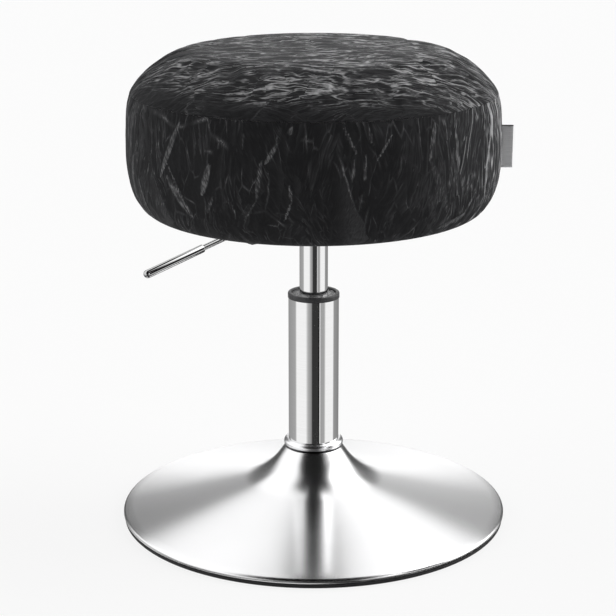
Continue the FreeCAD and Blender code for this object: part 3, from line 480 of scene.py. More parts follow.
def zinc_plate():
    """Bright zinc with the patchy bloom of a thin plating."""
    finish = Finish("zinc_plate", (0.62, 0.62, 0.60), 0.35, 1.0)
    cells = finish.add("ShaderNodeTexVoronoi", {"Vector": own_place(finish.tree), "Scale": 420.0})
    handled(finish, 90.0, 0.36, 0.2)
    tone = ramp(finish.tree, cells.outputs["Color"], [(0.0, (0.55, 0.55, 0.53)), (1.0, (0.69, 0.69, 0.66))])
    finish.feed("Base Color", tone)
    return finish.material


def plywood():
    """Birch veneer with long grain, and the lines of the plies at its edge."""
    finish = Finish("plywood", (0.62, 0.47, 0.31), 0.6)
    drawn = stretched(finish.tree, own_place(finish.tree), (3.0, 60.0, 260.0))
    grain = noise_field(finish.tree, drawn, 1.0, 6.0, 0.6)
    tone = ramp(finish.tree, grain, [(0.3, (0.42, 0.29, 0.17)), (0.7, (0.68, 0.53, 0.36))])
    finish.feed("Base Color", tone)
    bumped(finish, grain, 0.2, 0.0004)
    return finish.material


def foam():
    """Open-cell foam."""
    finish = Finish("cut_foam", (0.80, 0.78, 0.70), 0.95)
    place = own_place(finish.tree)
    cells = finish.add("ShaderNodeTexVoronoi", {"Vector": place, "Scale": 900.0}).outputs["Distance"]
    tone = ramp(finish.tree, cells, [(0.1, (0.62, 0.59, 0.50)), (0.6, (0.84, 0.82, 0.74))])
    finish.feed("Base Color", tone)
    bumped(finish, cells, 0.5, 0.0006)
    return finish.material


def cloth(name, colour, threads, roughness, strength):
    """A flat woven cloth that lies level."""
    finish = Finish(name, colour, roughness)
    weave = placed(finish, WOVEN_THREADS, {"Vector": own_place(finish.tree), "Threads per Metre": threads})
    finish.feed("Base Color", blend(finish.tree, weave["Gaps"], colour, shaded(colour, 0.45)))
    bumped(finish, weave["Height"], strength, 0.0003)
    return finish.material


def ribbon_satin():
    """Grey satin ribbon: long floats across the ribbon and a dark line along its top edge."""
    finish = Finish("ribbon_satin", (0.36, 0.36, 0.37), 0.42, Sheen_Weight=0.3, Sheen_Roughness=0.4)
    tree = finish.tree
    place = own_place(tree)
    turned = finish.add("ShaderNodeMapping", {"Vector": place, "Rotation": (math.radians(90), 0, 0)})
    weave = placed(finish, WOVEN_THREADS, {"Vector": turned.outputs["Vector"], "Threads per Metre": 2600.0})
    floats = noise_field(tree, stretched(tree, place, (60.0, 60.0, 2400.0)), roughness=0.5)
    tone = ramp(tree, floats, [(0.3, (0.54, 0.54, 0.55)), (0.7, (0.74, 0.74, 0.75))])
    tone = blend(tree, weave["Gaps"], tone, (0.38, 0.38, 0.39))
    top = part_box("label_tab")[1].z
    dark_top_edge = smooth_step(tree, axes(tree, place)["Z"], top - 0.0012, top - 0.0007)
    finish.feed("Base Color", blend(tree, dark_top_edge, tone, (0.09, 0.09, 0.09)))
    bumped(finish, weave["Height"], 0.25, 0.0002)
    return finish.material


def crushed_velvet():
    """Black crushed velvet: pile pressed in facets, flakes and shards, laid flat in places, with a fine nap; the
    pile's own tone carries its sheen painted in, as paler patches, bright rims and bright lines.
    """
    finish = Finish(
        "crushed_velvet", (0.018, 0.018, 0.019), 0.55, Sheen_Weight=0.03, Sheen_Roughness=0.4,
        Sheen_Tint=(0.75, 0.76, 0.8, 1), Specular_IOR_Level=0.04,
    )
    tree = finish.tree
    lay = finish.add("ShaderNodeUVMap", uv_map="lay").outputs["UV"]
    # Besides the pile's own marks, two of these carry painted light and shade: paler, livelier pile on the lit sides
    # and darker pile on the crown's roll
    crush, lively_and_lit, combed_and_lit = (
        finish.add("ShaderNodeAttribute", attribute_name=name).outputs["Fac"] for name in ("crush", "lively_and_lit", "combed_and_lit")
    )
    times, plus, less, most = (partial(maths, tree, kind) for kind in ("MULTIPLY", "ADD", "SUBTRACT", "MAXIMUM"))
    cloud, eased = partial(noise_field, tree), partial(smooth_step, tree)

    def drawn(place, across, along):
        return stretched(tree, place, (across, along, 1.0))

    def here_and_there(across, along, low, high):
        """Soft patches in which a mark shows."""
        return eased(cloud(drawn(lay, across, along)), low, high)

    def shifted(place, scale, detail, reach):
        """Bends a place by a soft cloud."""
        drift = vectors(tree, "SUBTRACT", {0: cloud(place, scale, detail, output="Color"), 1: (0.5, 0.5, 0.5)})
        return vectors(tree, "ADD", {0: place, 1: vectors(tree, "SCALE", {0: drift, "Scale": reach})})

    loose = less(1.0, times(combed_and_lit, 0.65))
    bent = shifted(shifted(lay, 8.0, 1.0, times(loose, 0.05)), 34.0, 2.0, times(loose, 0.008))

    def facets(across, along, rim):
        """Flat-pressed patches: each fades to one side, has a bright rim and slips the pile its own way."""
        place = drawn(bent, across, along)
        cells, rims = (
            finish.add(
                "ShaderNodeTexVoronoi", {"Vector": place, "Scale": 1.0, "Randomness": 0.95},
                voronoi_dimensions="2D", feature=feature,
            ).outputs
            for feature in ("F1", "DISTANCE_TO_EDGE")
        )
        chance = finish.add("ShaderNodeSeparateColor", {"Color": cells["Color"]}).outputs
        inside = axes(tree, vectors(tree, "SUBTRACT", {0: place, 1: cells["Position"]}))
        patch = times(eased(chance["Red"], 0.4, 1.0), eased(inside["X"], -0.45, 0.5))
        line = less(1.0, eased(rims["Distance"], 0.0, rim))
        slant = times(less(chance["Green"], 0.5), times(inside["Y"], 1.3 / along))
        return patch, line, plus(slant, times(less(chance["Blue"], 0.5), 0.06))

    patch, line, slip = facets(30.0, 12.0, 0.045)
    fine_patch, fine_line, fine_slip = facets(115.0, 36.0, 0.09)
    slip = times(plus(slip, times(fine_slip, 0.15)), less(1.0, times(combed_and_lit, 0.8)))
    slip = finish.add("ShaderNodeCombineXYZ", {"X": slip}).outputs["Vector"]
    crumpled = vectors(tree, "ADD", {0: bent, 1: slip})
    nap = cloud(drawn(crumpled, 700.0, 150.0), detail=3.0)
    streaks = eased(nap, 0.3, 0.7)

    def flakes(across, along, steps, sharpness):
        """Flakes that lie over each other: each brightens towards its edge and stops there."""
        rise = maths(tree, "FRACT", times(cloud(drawn(crumpled, across, along)), steps))
        return rise, maths(tree, "POWER", rise, sharpness)

    broad_rise, broad = flakes(32.0, 5.0, 6.0, 5.0)
    small_rise, small = flakes(100.0, 11.0, 5.0, 4.0)
    broad = times(broad, here_and_there(22.0, 11.0, 0.36, 0.6))
    small = times(small, here_and_there(40.0, 20.0, 0.42, 0.62))
    fold = most(times(broad, times(lively_and_lit, lively_and_lit)), times(small, lively_and_lit))
    line = times(line, here_and_there(26.0, 15.0, 0.46, 0.64))
    fine_line = times(fine_line, here_and_there(44.0, 30.0, 0.48, 0.66))
    fold = most(fold, most(times(patch, 0.24), times(fine_patch, 0.13)))
    fold = most(fold, most(times(line, 0.42), times(fine_line, 0.36)))
    fold = times(fold, less(1.0, times(combed_and_lit, 0.5)))
    # Shards come from the modelled strokes, with a ragged edge
    ragged = plus(crush, times(less(nap, 0.5), 0.7))
    light = most(fold, times(eased(ragged, 0.15, 0.95), 0.42))
    light = times(light, plus(times(streaks, 0.7), 0.5), clamp=True)
    light = most(light, times(eased(nap, 0.42, 0.8), 0.09))

    def crinkle(across, along, width):
        """Fine wavy lines along the pile."""
        off = maths(tree, "ABSOLUTE", less(cloud(drawn(crumpled, across, along)), 0.5))
        return less(1.0, eased(off, 0.0, width))

    # Where the pile lies flat it is paler, as painted sheen, with bright and dark crinkles that are the painted
    # highlights and shade of fine creases
    ridges = most(times(crinkle(92.0, 11.0, 0.04), 0.75), crinkle(52.0, 7.0, 0.035))
    ridges = most(ridges, times(crinkle(170.0, 16.0, 0.05), 0.5))
    ridges = times(ridges, here_and_there(26.0, 12.0, 0.2, 0.5))
    flat = plus(times(eased(cloud(drawn(crumpled, 22.0, 8.0)), 0.3, 0.7), 0.07), 0.04)
    flat = plus(flat, times(ridges, 0.8))
    flat = less(flat, times(crinkle(44.0, 6.0, 0.04), 0.3), clamp=True)
    flat = times(flat, plus(times(streaks, 0.5), 0.7))
    light = most(light, times(flat, combed_and_lit))
    dark, grey, pale = (0.015, 0.015, 0.016), (0.05, 0.05, 0.052), (0.5, 0.501, 0.506)
    finish.feed("Base Color", ramp(tree, light, [(0.0, dark), (0.3, grey), (1.0, pale)]))
    rough = finish.add("ShaderNodeMapRange", {"Value": light, "To Min": 0.62, "To Max": 0.42})
    finish.feed("Roughness", rough.outputs["Result"])
    height = plus(broad_rise, times(small_rise, 0.4))
    bumped(finish, plus(times(height, lively_and_lit), times(nap, 0.25)), 0.5, 0.0008)
    return finish.material


CHROME = polished_chrome()
# The lever's plating is the same chrome at 0.6 of its brightness: painted shade for darker reflections
SHADED_LEVER_CHROME = polished_chrome("lever_chrome_painted_shade", 0.6)
BEAD = bead_chrome_painted_shade()
SATIN = satin_chrome()
PLASTIC = grained("black_plastic", (0.030, 0.030, 0.032), 0.42, 1500.0, 0.25)
NYLON = grained("grey_nylon", (0.34, 0.34, 0.345), 0.35, 1500.0, 0.2)
RUBBER = grained("black_rubber", (0.018, 0.018, 0.019), 0.75, 900.0, 0.35)
POWDER = grained("black_powder_coat", (0.028, 0.028, 0.030), 0.5, 2200.0, 0.4)
ALUMINIUM = turned_metal("turned_aluminium", (0.75, 0.75, 0.76), 0.3, 2500.0)
ZINC = zinc_plate()
PLYWOOD = plywood()
FOAM = foam()
DUST_CLOTH = cloth("dust_cloth", (0.025, 0.025, 0.027), 900.0, 0.9, 0.5)
RIBBON = ribbon_satin()
VELVET = crushed_velvet()

SLOT_FINISH = {
    "velvet": VELVET,
    "foam": FOAM,
    "plywood": PLYWOOD,
    "dust_cloth": DUST_CLOTH,
    "ribbon": RIBBON,
    "satin_chrome": SATIN,
    "polished_chrome": CHROME,
    "black_plastic": PLASTIC,
    "black_rubber": RUBBER,
    "black_steel": POWDER,
    "zinc_steel": ZINC,
    "turned_aluminium": ALUMINIUM,
}


def dress_cad_nodes():
    """Gives every solid the procedural finish of its slot."""
    for subpart in frame["record"]["subparts"]:
        node = nodes[subpart["node"]]
        for place in node.material_slots:
            place.material = SLOT_FINISH[subpart["material_slot"]]
    for place in nodes["column_guide"].material_slots:
        place.material = NYLON


# Base

def base_profile():
    """The trumpet's closed wall: outer surface from neck to lip, then back along the inner surface."""
    wall, lip, lip_height, turn_in, flare_round = 0.0015, 0.003, 0.0065, 0.006, 0.062
    flare, neck = math.radians(13.5), math.radians(55)
    shallow, steep = math.tan(flare), math.tan(neck)
    tip = (BASE_RADIUS - lip, lip_height)

    def surface(inset):
        roll = lip - inset
        edge = NECK_ROUND - inset
        bow = flare_round + inset
        start = (HUB_RADIUS + edge * math.sin(neck), NECK_HEIGHT - NECK_ROUND + edge * math.cos(neck))
        end = (tip[0] + roll * math.sin(flare), tip[1] + roll * math.cos(flare))
        corner = (end[1] + end[0] * shallow - start[1] - start[0] * steep) / (shallow - steep)
        height = end[1] + (end[0] - corner) * shallow
        back = bow * math.tan((neck - flare) / 2)
        first = (corner - back * math.cos(neck), height + back * math.sin(neck))
        centre = (first[0] + bow * math.sin(neck), first[1] + bow * math.cos(neck))
        points = arc((HUB_RADIUS, NECK_HEIGHT - NECK_ROUND), edge, math.pi / 2, math.pi / 2 - neck, 5)
        points += between(start, first, 4)
        points += arc(centre, bow, math.radians(270) - neck, math.radians(270) - flare, 24)
        points += between(points[-1], end, 14)
        points += arc(tip, roll, math.pi / 2 - flare, -math.pi / 2, 10)
        return points + [(tip[0] - turn_in, tip[1] - roll)]

    return surface(0.0) + surface(wall)[::-1]


def trim_profile():
    """The bright bead: foot drawn in, full belly and a narrow top land."""
    clear, tall, foot_out, belly_out, belly_up = 0.00005, 0.0082, 0.0024, 0.0047, 0.0044
    bore, top = COLUMN_RADIUS + clear, NECK_HEIGHT + tall
    foot = (COLUMN_RADIUS + foot_out, NECK_HEIGHT)
    belly = (COLUMN_RADIUS + belly_out, NECK_HEIGHT + belly_up)
    crest = ((bore + foot[0]) / 2, top)
    return arc_through(foot, belly, crest, 16) + [(bore, top), (bore, NECK_HEIGHT)]


def collar_profile():
    """The black cap: rounded rim on the tube and a skirt inside it."""
    proud, land, tall, small, clear = 0.0005, 0.004, 0.005, 0.0012, 0.00015
    outer, bore = COLUMN_RADIUS + proud, COLUMN_RADIUS + proud - land
    top, hem = COLUMN_TOP + tall, COLUMN_TOP - tall
    skirt = TUBE_BORE - clear
    points = [(outer, COLUMN_TOP)]
    points += arc((outer - small, top - small), small, 0, math.pi / 2, 6)
    points += arc((bore + small, top - small), small, math.pi / 2, math.pi, 6)
    return points + [(bore, hem), (skirt, hem), (skirt, COLUMN_TOP)]


def tube_profile():
    """The outer tube: straight above the neck, tapered in the hub, with its foot turned in."""
    low, wall, turn_in = 0.014, 0.0015, 0.0045
    foot = COLUMN_RADIUS - (NECK_HEIGHT - low) / TAPER_RUN
    bore = COLUMN_RADIUS - (NECK_HEIGHT - low - wall) / TAPER_RUN - wall
    return [
        (bore - turn_in, low), (foot, low), (COLUMN_RADIUS, NECK_HEIGHT), (COLUMN_RADIUS, COLUMN_TOP),
        (TUBE_BORE, COLUMN_TOP), (TUBE_BORE, NECK_HEIGHT), (bore, low + wall), (bore - turn_in, low + wall),
    ]


def make_base():
    """Spun shell, rubber ring, bead, tube and cap."""
    ring = [
        (0.1907, 0.0), (0.1913, 0.0006), (0.1913, 0.0035), (0.1832, 0.0035), (0.1832, 0.0079),
        (0.1826, 0.0085), (0.1802, 0.0085), (0.1802, 0.0),
    ]
    new_piece("spun_trumpet", spun(base_profile(), 256), "base", SATIN, ["trumpet_base"], crease=35)
    new_piece("rubber_floor_ring", spun(ring, 192), "base", RUBBER, ["floor_ring"], crease=30)
    new_piece("bright_bead", spun(trim_profile(), 192), "base", BEAD, ["trim_ring"], crease=40)
    new_piece("lift_tube", spun(tube_profile(), 160), "base", CHROME, ["column_tube"], crease=25)
    new_piece("tube_cap", spun(collar_profile(), 128), "base", PLASTIC, ["collar_cap"], crease=40)


def make_cylinder():
    """Sliding cylinder of the lift, rolled in at both ends."""
    low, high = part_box("gas_cylinder")
    outer, bore, mouth, end, socket = 0.014, 0.012, 0.009, 0.002, 0.2836
    top = outer - (high.z - socket) / TAPER_RUN
    profile = [
        (mouth, low.z), (outer, low.z), (outer, socket), (top, high.z), (mouth, high.z),
        (mouth, high.z - end), (bore, high.z - end), (bore, low.z + end), (mouth, low.z + end),
    ]
    new_piece("lift_cylinder", spun(profile, 128), "seat", CHROME, ["gas_cylinder"], crease=25)


# Lever

def make_lever():
    """Bent rod with its cross tube, and the bright grip on its end."""
    rod, bend_at, bend_radius, grip_at, in_grip = 0.00275, 0.0682, 0.030, 0.1308, 0.045
    pivot_at, tube_radius, tube_length, tube_edge = 0.034, 0.0046, 0.0354, 0.0004
    turn = Matrix.Rotation(LEVER_HEADING, 4, "Z")
    inner = Vector((-0.003, 0, LEVER_AXIS_Z))
    back = bend_radius * math.tan(LEVER_DROP / 2)
    outward = Vector((math.cos(LEVER_DROP), 0, -math.sin(LEVER_DROP)))
    corner = Vector((bend_at, 0, LEVER_AXIS_Z))
    grip_start = corner + outward * ((grip_at - bend_at) / outward.x)
    bend_in = corner - Vector((back, 0, 0))

    bm = bmesh.new()
    bmesh.ops.create_circle(bm, cap_ends=False, radius=rod, segments=28)
    bmesh.ops.rotate(bm, verts=bm.verts[:], cent=(0, 0, 0), matrix=Matrix.Rotation(math.radians(90), 3, "Y"))
    bmesh.ops.translate(bm, verts=bm.verts[:], vec=inner)
    ring = bm.edges[:]
    bmesh.ops.contextual_create(bm, geom=ring)
    verts, ring = pulled(bm, ring)
    bmesh.ops.translate(bm, verts=verts, vec=bend_in - inner)
    bent = bmesh.ops.spin(
        bm, geom=ring, cent=bend_in - Vector((0, 0, bend_radius)), axis=(0, 1, 0), angle=LEVER_DROP, steps=10,
        use_merge=False, use_duplicate=False,
    )["geom_last"]
    verts, ring = pulled(bm, [part for part in bent if isinstance(part, bmesh.types.BMEdge)])
    bmesh.ops.translate(bm, verts=verts, vec=grip_start + outward * in_grip - (corner + outward * back))
    bmesh.ops.contextual_create(bm, geom=ring)
    tube = bmesh.ops.create_cone(
        bm, cap_ends=True, segments=40, radius1=tube_radius, radius2=tube_radius, depth=tube_length,
        matrix=Matrix.Translation((pivot_at, 0, LEVER_AXIS_Z)) @ Matrix.Rotation(math.radians(90), 4, "X"),
    )["verts"]
    rims = {edge for vert in tube for edge in vert.link_edges if abs(edge.verts[0].co.y - edge.verts[1].co.y) < 1e-6}
    bmesh.ops.bevel(
        bm, geom=list(rims), offset=tube_edge, segments=2, profile=0.5, affect="EDGES", material=-1
    )
    bmesh.ops.transform(bm, matrix=turn, verts=bm.verts[:])
    bmesh.ops.recalc_face_normals(bm, faces=bm.faces[:])
    new_piece("bent_lever", bm, "lever", SHADED_LEVER_CHROME, ["lever_rod"], crease=40)

    radius, length, depth, bore, edge = 0.004, 0.0669, 0.0453, 0.0028, 0.0004
    profile = [(bore, 0.0), (radius - edge, 0.0)]
    profile += arc((radius - edge, edge), edge, -math.pi / 2, 0, 4)[1:]
    profile += arc((0, length - radius), radius, 0, math.pi / 2, 12)
    profile += [(0.0, depth), (bore, depth)]
    bm = spun(profile, 48)
    tilt = Matrix.Translation(grip_start) @ Matrix.Rotation(math.radians(90) + LEVER_DROP, 4, "Y")
    bmesh.ops.transform(bm, matrix=turn @ tilt, verts=bm.verts[:])
    new_piece("lever_sleeve", bm, "lever", SHADED_LEVER_CHROME, ["lever_grip"], crease=40)


# Seat

def side_profile(inset=0.0):
    """Points of the band from the hem under the board to the seam."""
    rise, setback = SEAM_Z - BULGE_Z, SEAT_RADIUS - SEAM_RADIUS
    upper = (rise**2 + setback**2) / (2 * setback)
    drop = BULGE_Z - SEAT_BOTTOM - EDGE_ROUND
    draw = SEAT_RADIUS - FLAT_RADIUS - EDGE_ROUND
    turn = 2 * math.atan2(draw, drop)
    lower = EDGE_ROUND + drop / math.sin(turn)
    hem, flat = (HEM_RADIUS, SEAT_BOTTOM + inset), (FLAT_RADIUS, SEAT_BOTTOM + inset)
    points = [hem] + between(hem, flat, 6)
    points += arc((FLAT_RADIUS, SEAT_BOTTOM + EDGE_ROUND), EDGE_ROUND - inset, -math.pi / 2, -turn, 7)[:-1]
    points += arc((SEAT_RADIUS - lower, BULGE_Z), lower - inset, -turn, 0, 18)[:-1]
    points += arc((SEAT_RADIUS - upper, BULGE_Z), upper - inset, 0, math.asin(rise / upper), 22)
    return [(radius, height - sag(radius, height)) for radius, height in points]


def sag(radius, height):
    """How far the stuffed lower edge hangs below its plain outline, outside the dust cloth."""
    depth, start, run, reach = 0.0021, 0.138, 0.016, 0.03
    out = ramped(radius, start, run)
    low = 1 - ramped(height, SEAT_BOTTOM, reach)
    return depth * out * out * (3 - 2 * out) * low * low


def crown_height(radius, inset=0.0):
    """Height of the crowned top panel at a radius."""
    start = SEAM_RADIUS - CROWN_ROUND * (math.sin(CROWN_SEAM_SLOPE) - math.sin(CROWN_MIDDLE_SLOPE))
    fall = CROWN_ROUND * (math.cos(CROWN_MIDDLE_SLOPE) - math.cos(CROWN_SEAM_SLOPE))
    bow = start / math.sin(CROWN_MIDDLE_SLOPE)
    shoulder = SEAM_Z + fall
    if radius <= start:
        return shoulder + math.sqrt(bow**2 - radius**2) - bow * math.cos(CROWN_MIDDLE_SLOPE) - inset
    across = radius - start + CROWN_ROUND * math.sin(CROWN_MIDDLE_SLOPE)
    drop = CROWN_ROUND * math.cos(CROWN_MIDDLE_SLOPE) - math.sqrt(max(0.0, CROWN_ROUND**2 - across**2))
    return shoulder - drop - inset


def swell(piece, held):
    """Lets the cover swell a little under pressure while the held points stay, then keeps the shape."""
    start = np.array([vert.co[:] for vert in piece.data.vertices])
    pins = piece.vertex_groups.new(name="held")
    pins.add(held, 1.0, "REPLACE")
    cloth_maker = piece.modifiers.new("Swell", "CLOTH")
    cloth_maker.settings.vertex_group_mass = "held"
    cloth_maker.settings.effector_weights.gravity = 0
    cloth_maker.collision_settings.use_collision = False
    for key, value in SWELL.items():
        setattr(cloth_maker.settings, key, value)
    for step in range(1, SWELL_STEPS + 1):
        scene.frame_set(step)
    bpy.context.view_layer.update()
    shaped = piece.evaluated_get(bpy.context.evaluated_depsgraph_get()).to_mesh()
    moved = np.array([vert.co[:] for vert in shaped.vertices]) - start
    far = np.linalg.norm(moved, axis=1, keepdims=True)
    moved *= np.minimum(1.0, SWELL_CAP / np.maximum(far, 1e-9))
    piece.modifiers.remove(cloth_maker)
    piece.vertex_groups.remove(pins)
    for vert, place in zip(piece.data.vertices, start + moved):
        vert.co = place
    scene.frame_set(1)


def strokes_field(spots, strokes):
    """How far the pile is pressed at each spot: the highest of all strokes, from 0 to 1, and a slanted relief."""
    press = np.zeros(len(spots))
    relief = np.zeros(len(spots))
    for (x, y), (dx, dy), width, force in strokes:
        length = math.hypot(dx, dy)
        ux, uy = dx / length, dy / length
        along = ((spots[:, 0] - x) * ux + (spots[:, 1] - y) * uy) / length
        across = (spots[:, 1] - y) * ux - (spots[:, 0] - x) * uy
        inside = (along > 0) & (along < 1)
        swell_out = np.sqrt(np.clip(4 * along * (1 - along), 0, 1)) * width
        share = np.abs(across) / np.maximum(swell_out, 1e-6)
        value = np.where(inside, np.clip(1.4 - 1.4 * share**2, 0, 1), 0) * force
        press = np.maximum(press, value)
        slant = np.where(inside & (share < 1.3), value * (0.5 + 0.5 * across / np.maximum(swell_out, 1e-6)), 0)
        relief = np.where(np.abs(slant) > np.abs(relief), slant, relief)
    return press, relief


# Chosen strokes on the band's front: turn from the front in degrees and height, at both ends, half width and force
FRONT_STROKES = [
    (-41.8, 0.4252, -50.5, 0.3694, 0.0042, 1.0),
    (-47.5, 0.3745, -37.8, 0.3370, 0.0060, 0.8),
    (-47.0, 0.3860, -40.0, 0.3520, 0.0016, 0.8),
    (-30.6, 0.3914, -33.6, 0.3605, 0.0048, 0.9),
    (-29.4, 0.3629, -32.9, 0.3434, 0.0030, 0.6),
    (-9.8, 0.4145, -13.8, 0.3936, 0.0030, 0.9),
    (-14.7, 0.3979, -16.2, 0.3619, 0.0032, 0.75),
    (-16.2, 0.3619, -20.5, 0.3411, 0.0016, 0.7),
    (-6.7, 0.3766, -6.2, 0.3600, 0.0010, 1.0),
    (-6.2, 0.3620, -8.4, 0.3434, 0.0012, 1.0),
    (-6.1, 0.4279, -6.9, 0.4200, 0.0030, 0.9),
    (8.4, 0.4269, 12.2, 0.4027, 0.0013, 1.0),
    (15.3, 0.4288, 16.8, 0.4100, 0.0012, 0.9),
    (22.8, 0.4203, 17.7, 0.3965, 0.0014, 1.0),
    (11.3, 0.3993, 10.8, 0.3781, 0.0013, 1.0),
    (14.5, 0.4042, 14.3, 0.3767, 0.0013, 0.9),
    (14.0, 0.3713, 12.4, 0.3490, 0.0012, 0.6),
    (26.3, 0.4133, 25.1, 0.3958, 0.0030, 0.45),
    (37.2, 0.4278, 34.6, 0.3901, 0.0036, 0.8),
    (34.9, 0.3927, 43.2, 0.3399, 0.0060, 0.6),
    (33.6, 0.3706, 38.8, 0.3318, 0.0060, 0.5),
    (43.9, 0.4010, 42.2, 0.3598, 0.0030, 0.7),
    (64.5, 0.4163, 61.8, 0.3568, 0.0026, 1.0),
    (41.2, 0.3251, 53.3, 0.3345, 0.0040, 0.8),
    (55.9, 0.3556, 51.2, 0.3301, 0.0022, 0.9),
    (-55.3, 0.4205, -54.4, 0.3979, 0.0018, 0.7),
    (-19.9, 0.4235, -20.3, 0.4057, 0.0016, 0.6),
    (-27.5, 0.4129, -27.9, 0.4039, 0.0020, 0.6),
    (-23.6, 0.3556, -22.7, 0.3405, 0.0014, 0.7),
]
BAND_STROKES = 150
TOP_STROKES = 90
FRONT_TURN = 62
LEAST_WIDTH = 0.0016


def band_strokes(draw):
    """All strokes of the band, in metres round it and in height: the chosen ones, then drawn ones all round."""
    strokes = []
    for start, top, end, low, width, force in FRONT_STROKES:
        first = (math.radians(start) * SEAT_RADIUS, top)
        way = (math.radians(end - start) * SEAT_RADIUS, low - top)
        strokes.append((first, way, max(width, LEAST_WIDTH), force))
    for _ in range(BAND_STROKES):
        angle = draw.uniform(-180, 180)
        top = draw.uniform(0.325, 0.431)
        length = draw.choice((0.010, 0.016, 0.024, 0.034, 0.048))
        lean = math.radians(draw.gauss(0, 17))
        width = max(LEAST_WIDTH, length * draw.uniform(0.035, 0.12))
        force = draw.uniform(0.25, 0.9)
        if abs(angle) < FRONT_TURN:
            length, width, force = 0.55 * length, 0.6 * width, 0.5 * force
        first = (math.radians(angle) * SEAT_RADIUS, top)
        strokes.append((first, (length * math.sin(lean), -length * math.cos(lean)), width, force))
    return strokes


def top_strokes(draw):
    """Strokes of the top panel in plan, drawn along X with a slight lean."""
    strokes = []
    for _ in range(TOP_STROKES):
        length = draw.choice((0.022, 0.034, 0.050, 0.070, 0.095))
        lean = math.radians(draw.gauss(0, 16))
        width = length * draw.uniform(0.02, 0.05) + 0.0012
        first = (draw.uniform(-0.19, 0.15), draw.uniform(-0.178, 0.178))
        way = (length * math.cos(lean), length * math.sin(lean))
        strokes.append((first, way, width, draw.uniform(0.1, 0.4)))
    return strokes


def seam_pucker(turns, distance):
    """Small gathers that die away from the seam, uneven all round it and the same on both panels."""
    height, reach, full_turn = 0.00005, 0.007, 6.28
    draw = random.Random(5)
    wave = np.zeros(len(turns))
    for count in (61, 88, 127, 163):
        gather = np.sin(turns * count + draw.uniform(0, full_turn))
        wave += gather * (0.7 + 0.6 * np.sin(turns * draw.randint(3, 9) + draw.uniform(0, full_turn)))
    return height * wave * np.exp(-distance / reach)


def lay_uv(bm, place):
    """Writes the pile's map, in metres, from a function of a point."""
    layer = bm.loops.layers.uv.new("lay")
    for face in bm.faces:
        spots = [place(loop.vert.co) for loop in face.loops]
        wrap = max(u for u, _ in spots) - min(u for u, _ in spots) > math.pi * SEAT_RADIUS
        for loop, (u, v) in zip(face.loops, spots):
            if wrap and u < 0:
                u += 2 * math.pi * SEAT_RADIUS
            loop[layer].uv = (u, v)


def put_in_order(parts):
    """Sorts points, edges or faces by where they lie, so that the swelling comes out the same at each run."""
    def place_of(part):
        corners = [part.co] if isinstance(part, bmesh.types.BMVert) else [vert.co for vert in part.verts]
        return [round(sum(values) / len(corners), 6) for values in zip(*corners)]

    ranks = {part: rank for rank, part in enumerate(sorted(parts, key=place_of))}
    parts.sort(key=ranks.get)


def cover_piece(name, bm, replaced, sewn):
    """A panel of the cover, swollen and smoothed: the piece, its points and their turns from the front."""
    for parts in (bm.verts, bm.edges, bm.faces):
        put_in_order(parts)
    piece = new_piece(name, bm, "seat", VELVET, replaced)
    swell(piece, [vert.index for vert in piece.data.vertices if sewn(vert.co)])
    rounds = piece.modifiers.new("Round", "SUBSURF")
    rounds.levels = 1
    rounds.render_levels = 1
    deps = bpy.context.evaluated_depsgraph_get()
    mesh = bpy.data.meshes.new_from_object(piece.evaluated_get(deps), depsgraph=deps)
    piece.modifiers.clear()
    piece.data = mesh
    co = np.array([vert.co[:] for vert in mesh.vertices])
    return piece, co, np.arctan2(co[:, 0], -co[:, 1])


def press_pile(piece, spots, strokes, depth, pucker, lively_and_lit, combed_and_lit):
    """Marks strokes, livelier places and the pile's painted light and shade, lifts the strokes, gathers the seam and
    gives the cloth its thickness.
    """
    press, relief = strokes_field(spots, strokes)
    for name, values in (("crush", press), ("lively_and_lit", lively_and_lit), ("combed_and_lit", combed_and_lit)):
        mark = piece.data.attributes.new(name, "FLOAT", "POINT")
        mark.data.foreach_set("value", values.astype(np.float32))
    normals = [vert.normal.copy() for vert in piece.data.vertices]
    for vert, normal, lift, draw_in in zip(piece.data.vertices, normals, relief, pucker):
        vert.co += normal * (lift * depth + draw_in)
    wall = piece.modifiers.new("Cloth wall", "SOLIDIFY")
    wall.thickness = CLOTH_WALL
    wall.offset = -1


def make_band():
    """Side band of the cover, from the hem under the board to the seam."""
    profile = side_profile()
    profile += [(SEAM_RADIUS - SEAM_FOLD, SEAM_Z - 0.0001), (SEAM_RADIUS - SEAM_TUCK, SEAM_Z - 0.0011)]
    bm = spun(profile, 320, closed=False)
    outer = max(bm.faces, key=lambda face: face.calc_center_median().xy.length)
    if outer.normal.xy.dot(outer.calc_center_median().xy) < 0:
        bmesh.ops.reverse_faces(bm, faces=bm.faces[:])

    def unrolled(co):
        """Metres round the band from its front, and height that runs on over the edges."""
        return math.atan2(co.x, -co.y) * SEAT_RADIUS, co.z + 0.5 * (co.xy.length - SEAT_RADIUS)

    def sewn(co):
        return co.z > SEAM_Z - SEWN_STRIP or co.z < SEAT_BOTTOM + SEWN_STRIP

    lay_uv(bm, unrolled)
    piece, co, turns = cover_piece("velvet_band", bm, ["seat_cover_band"], sewn)
    below_seam = np.abs(SEAM_Z - co[:, 2])
    edges = np.exp(-below_seam / 0.008) + np.exp(-np.abs(co[:, 2] - SEAT_BOTTOM) / 0.014)
    # Painted light: the folds grow livelier away from the front, and the pile is paler on the right and on the left,
    # as on lit sides
    lively_and_lit = 0.33 + 0.45 * ramped(np.abs(turns), 0.75, 0.55) + 0.15 * edges
    right = 1.2 * ramped(turns, 0.4, 0.85) - 0.7 * ramped(turns, 1.9, 1.2)
    left = 0.55 * ramped(-turns, 0.85, 0.5)
    spots = np.stack([turns * SEAT_RADIUS, co[:, 2]], axis=1)
    strokes = band_strokes(random.Random(11))
    press_pile(piece, spots, strokes, 0.0006, seam_pucker(turns, below_seam), lively_and_lit, right + left)


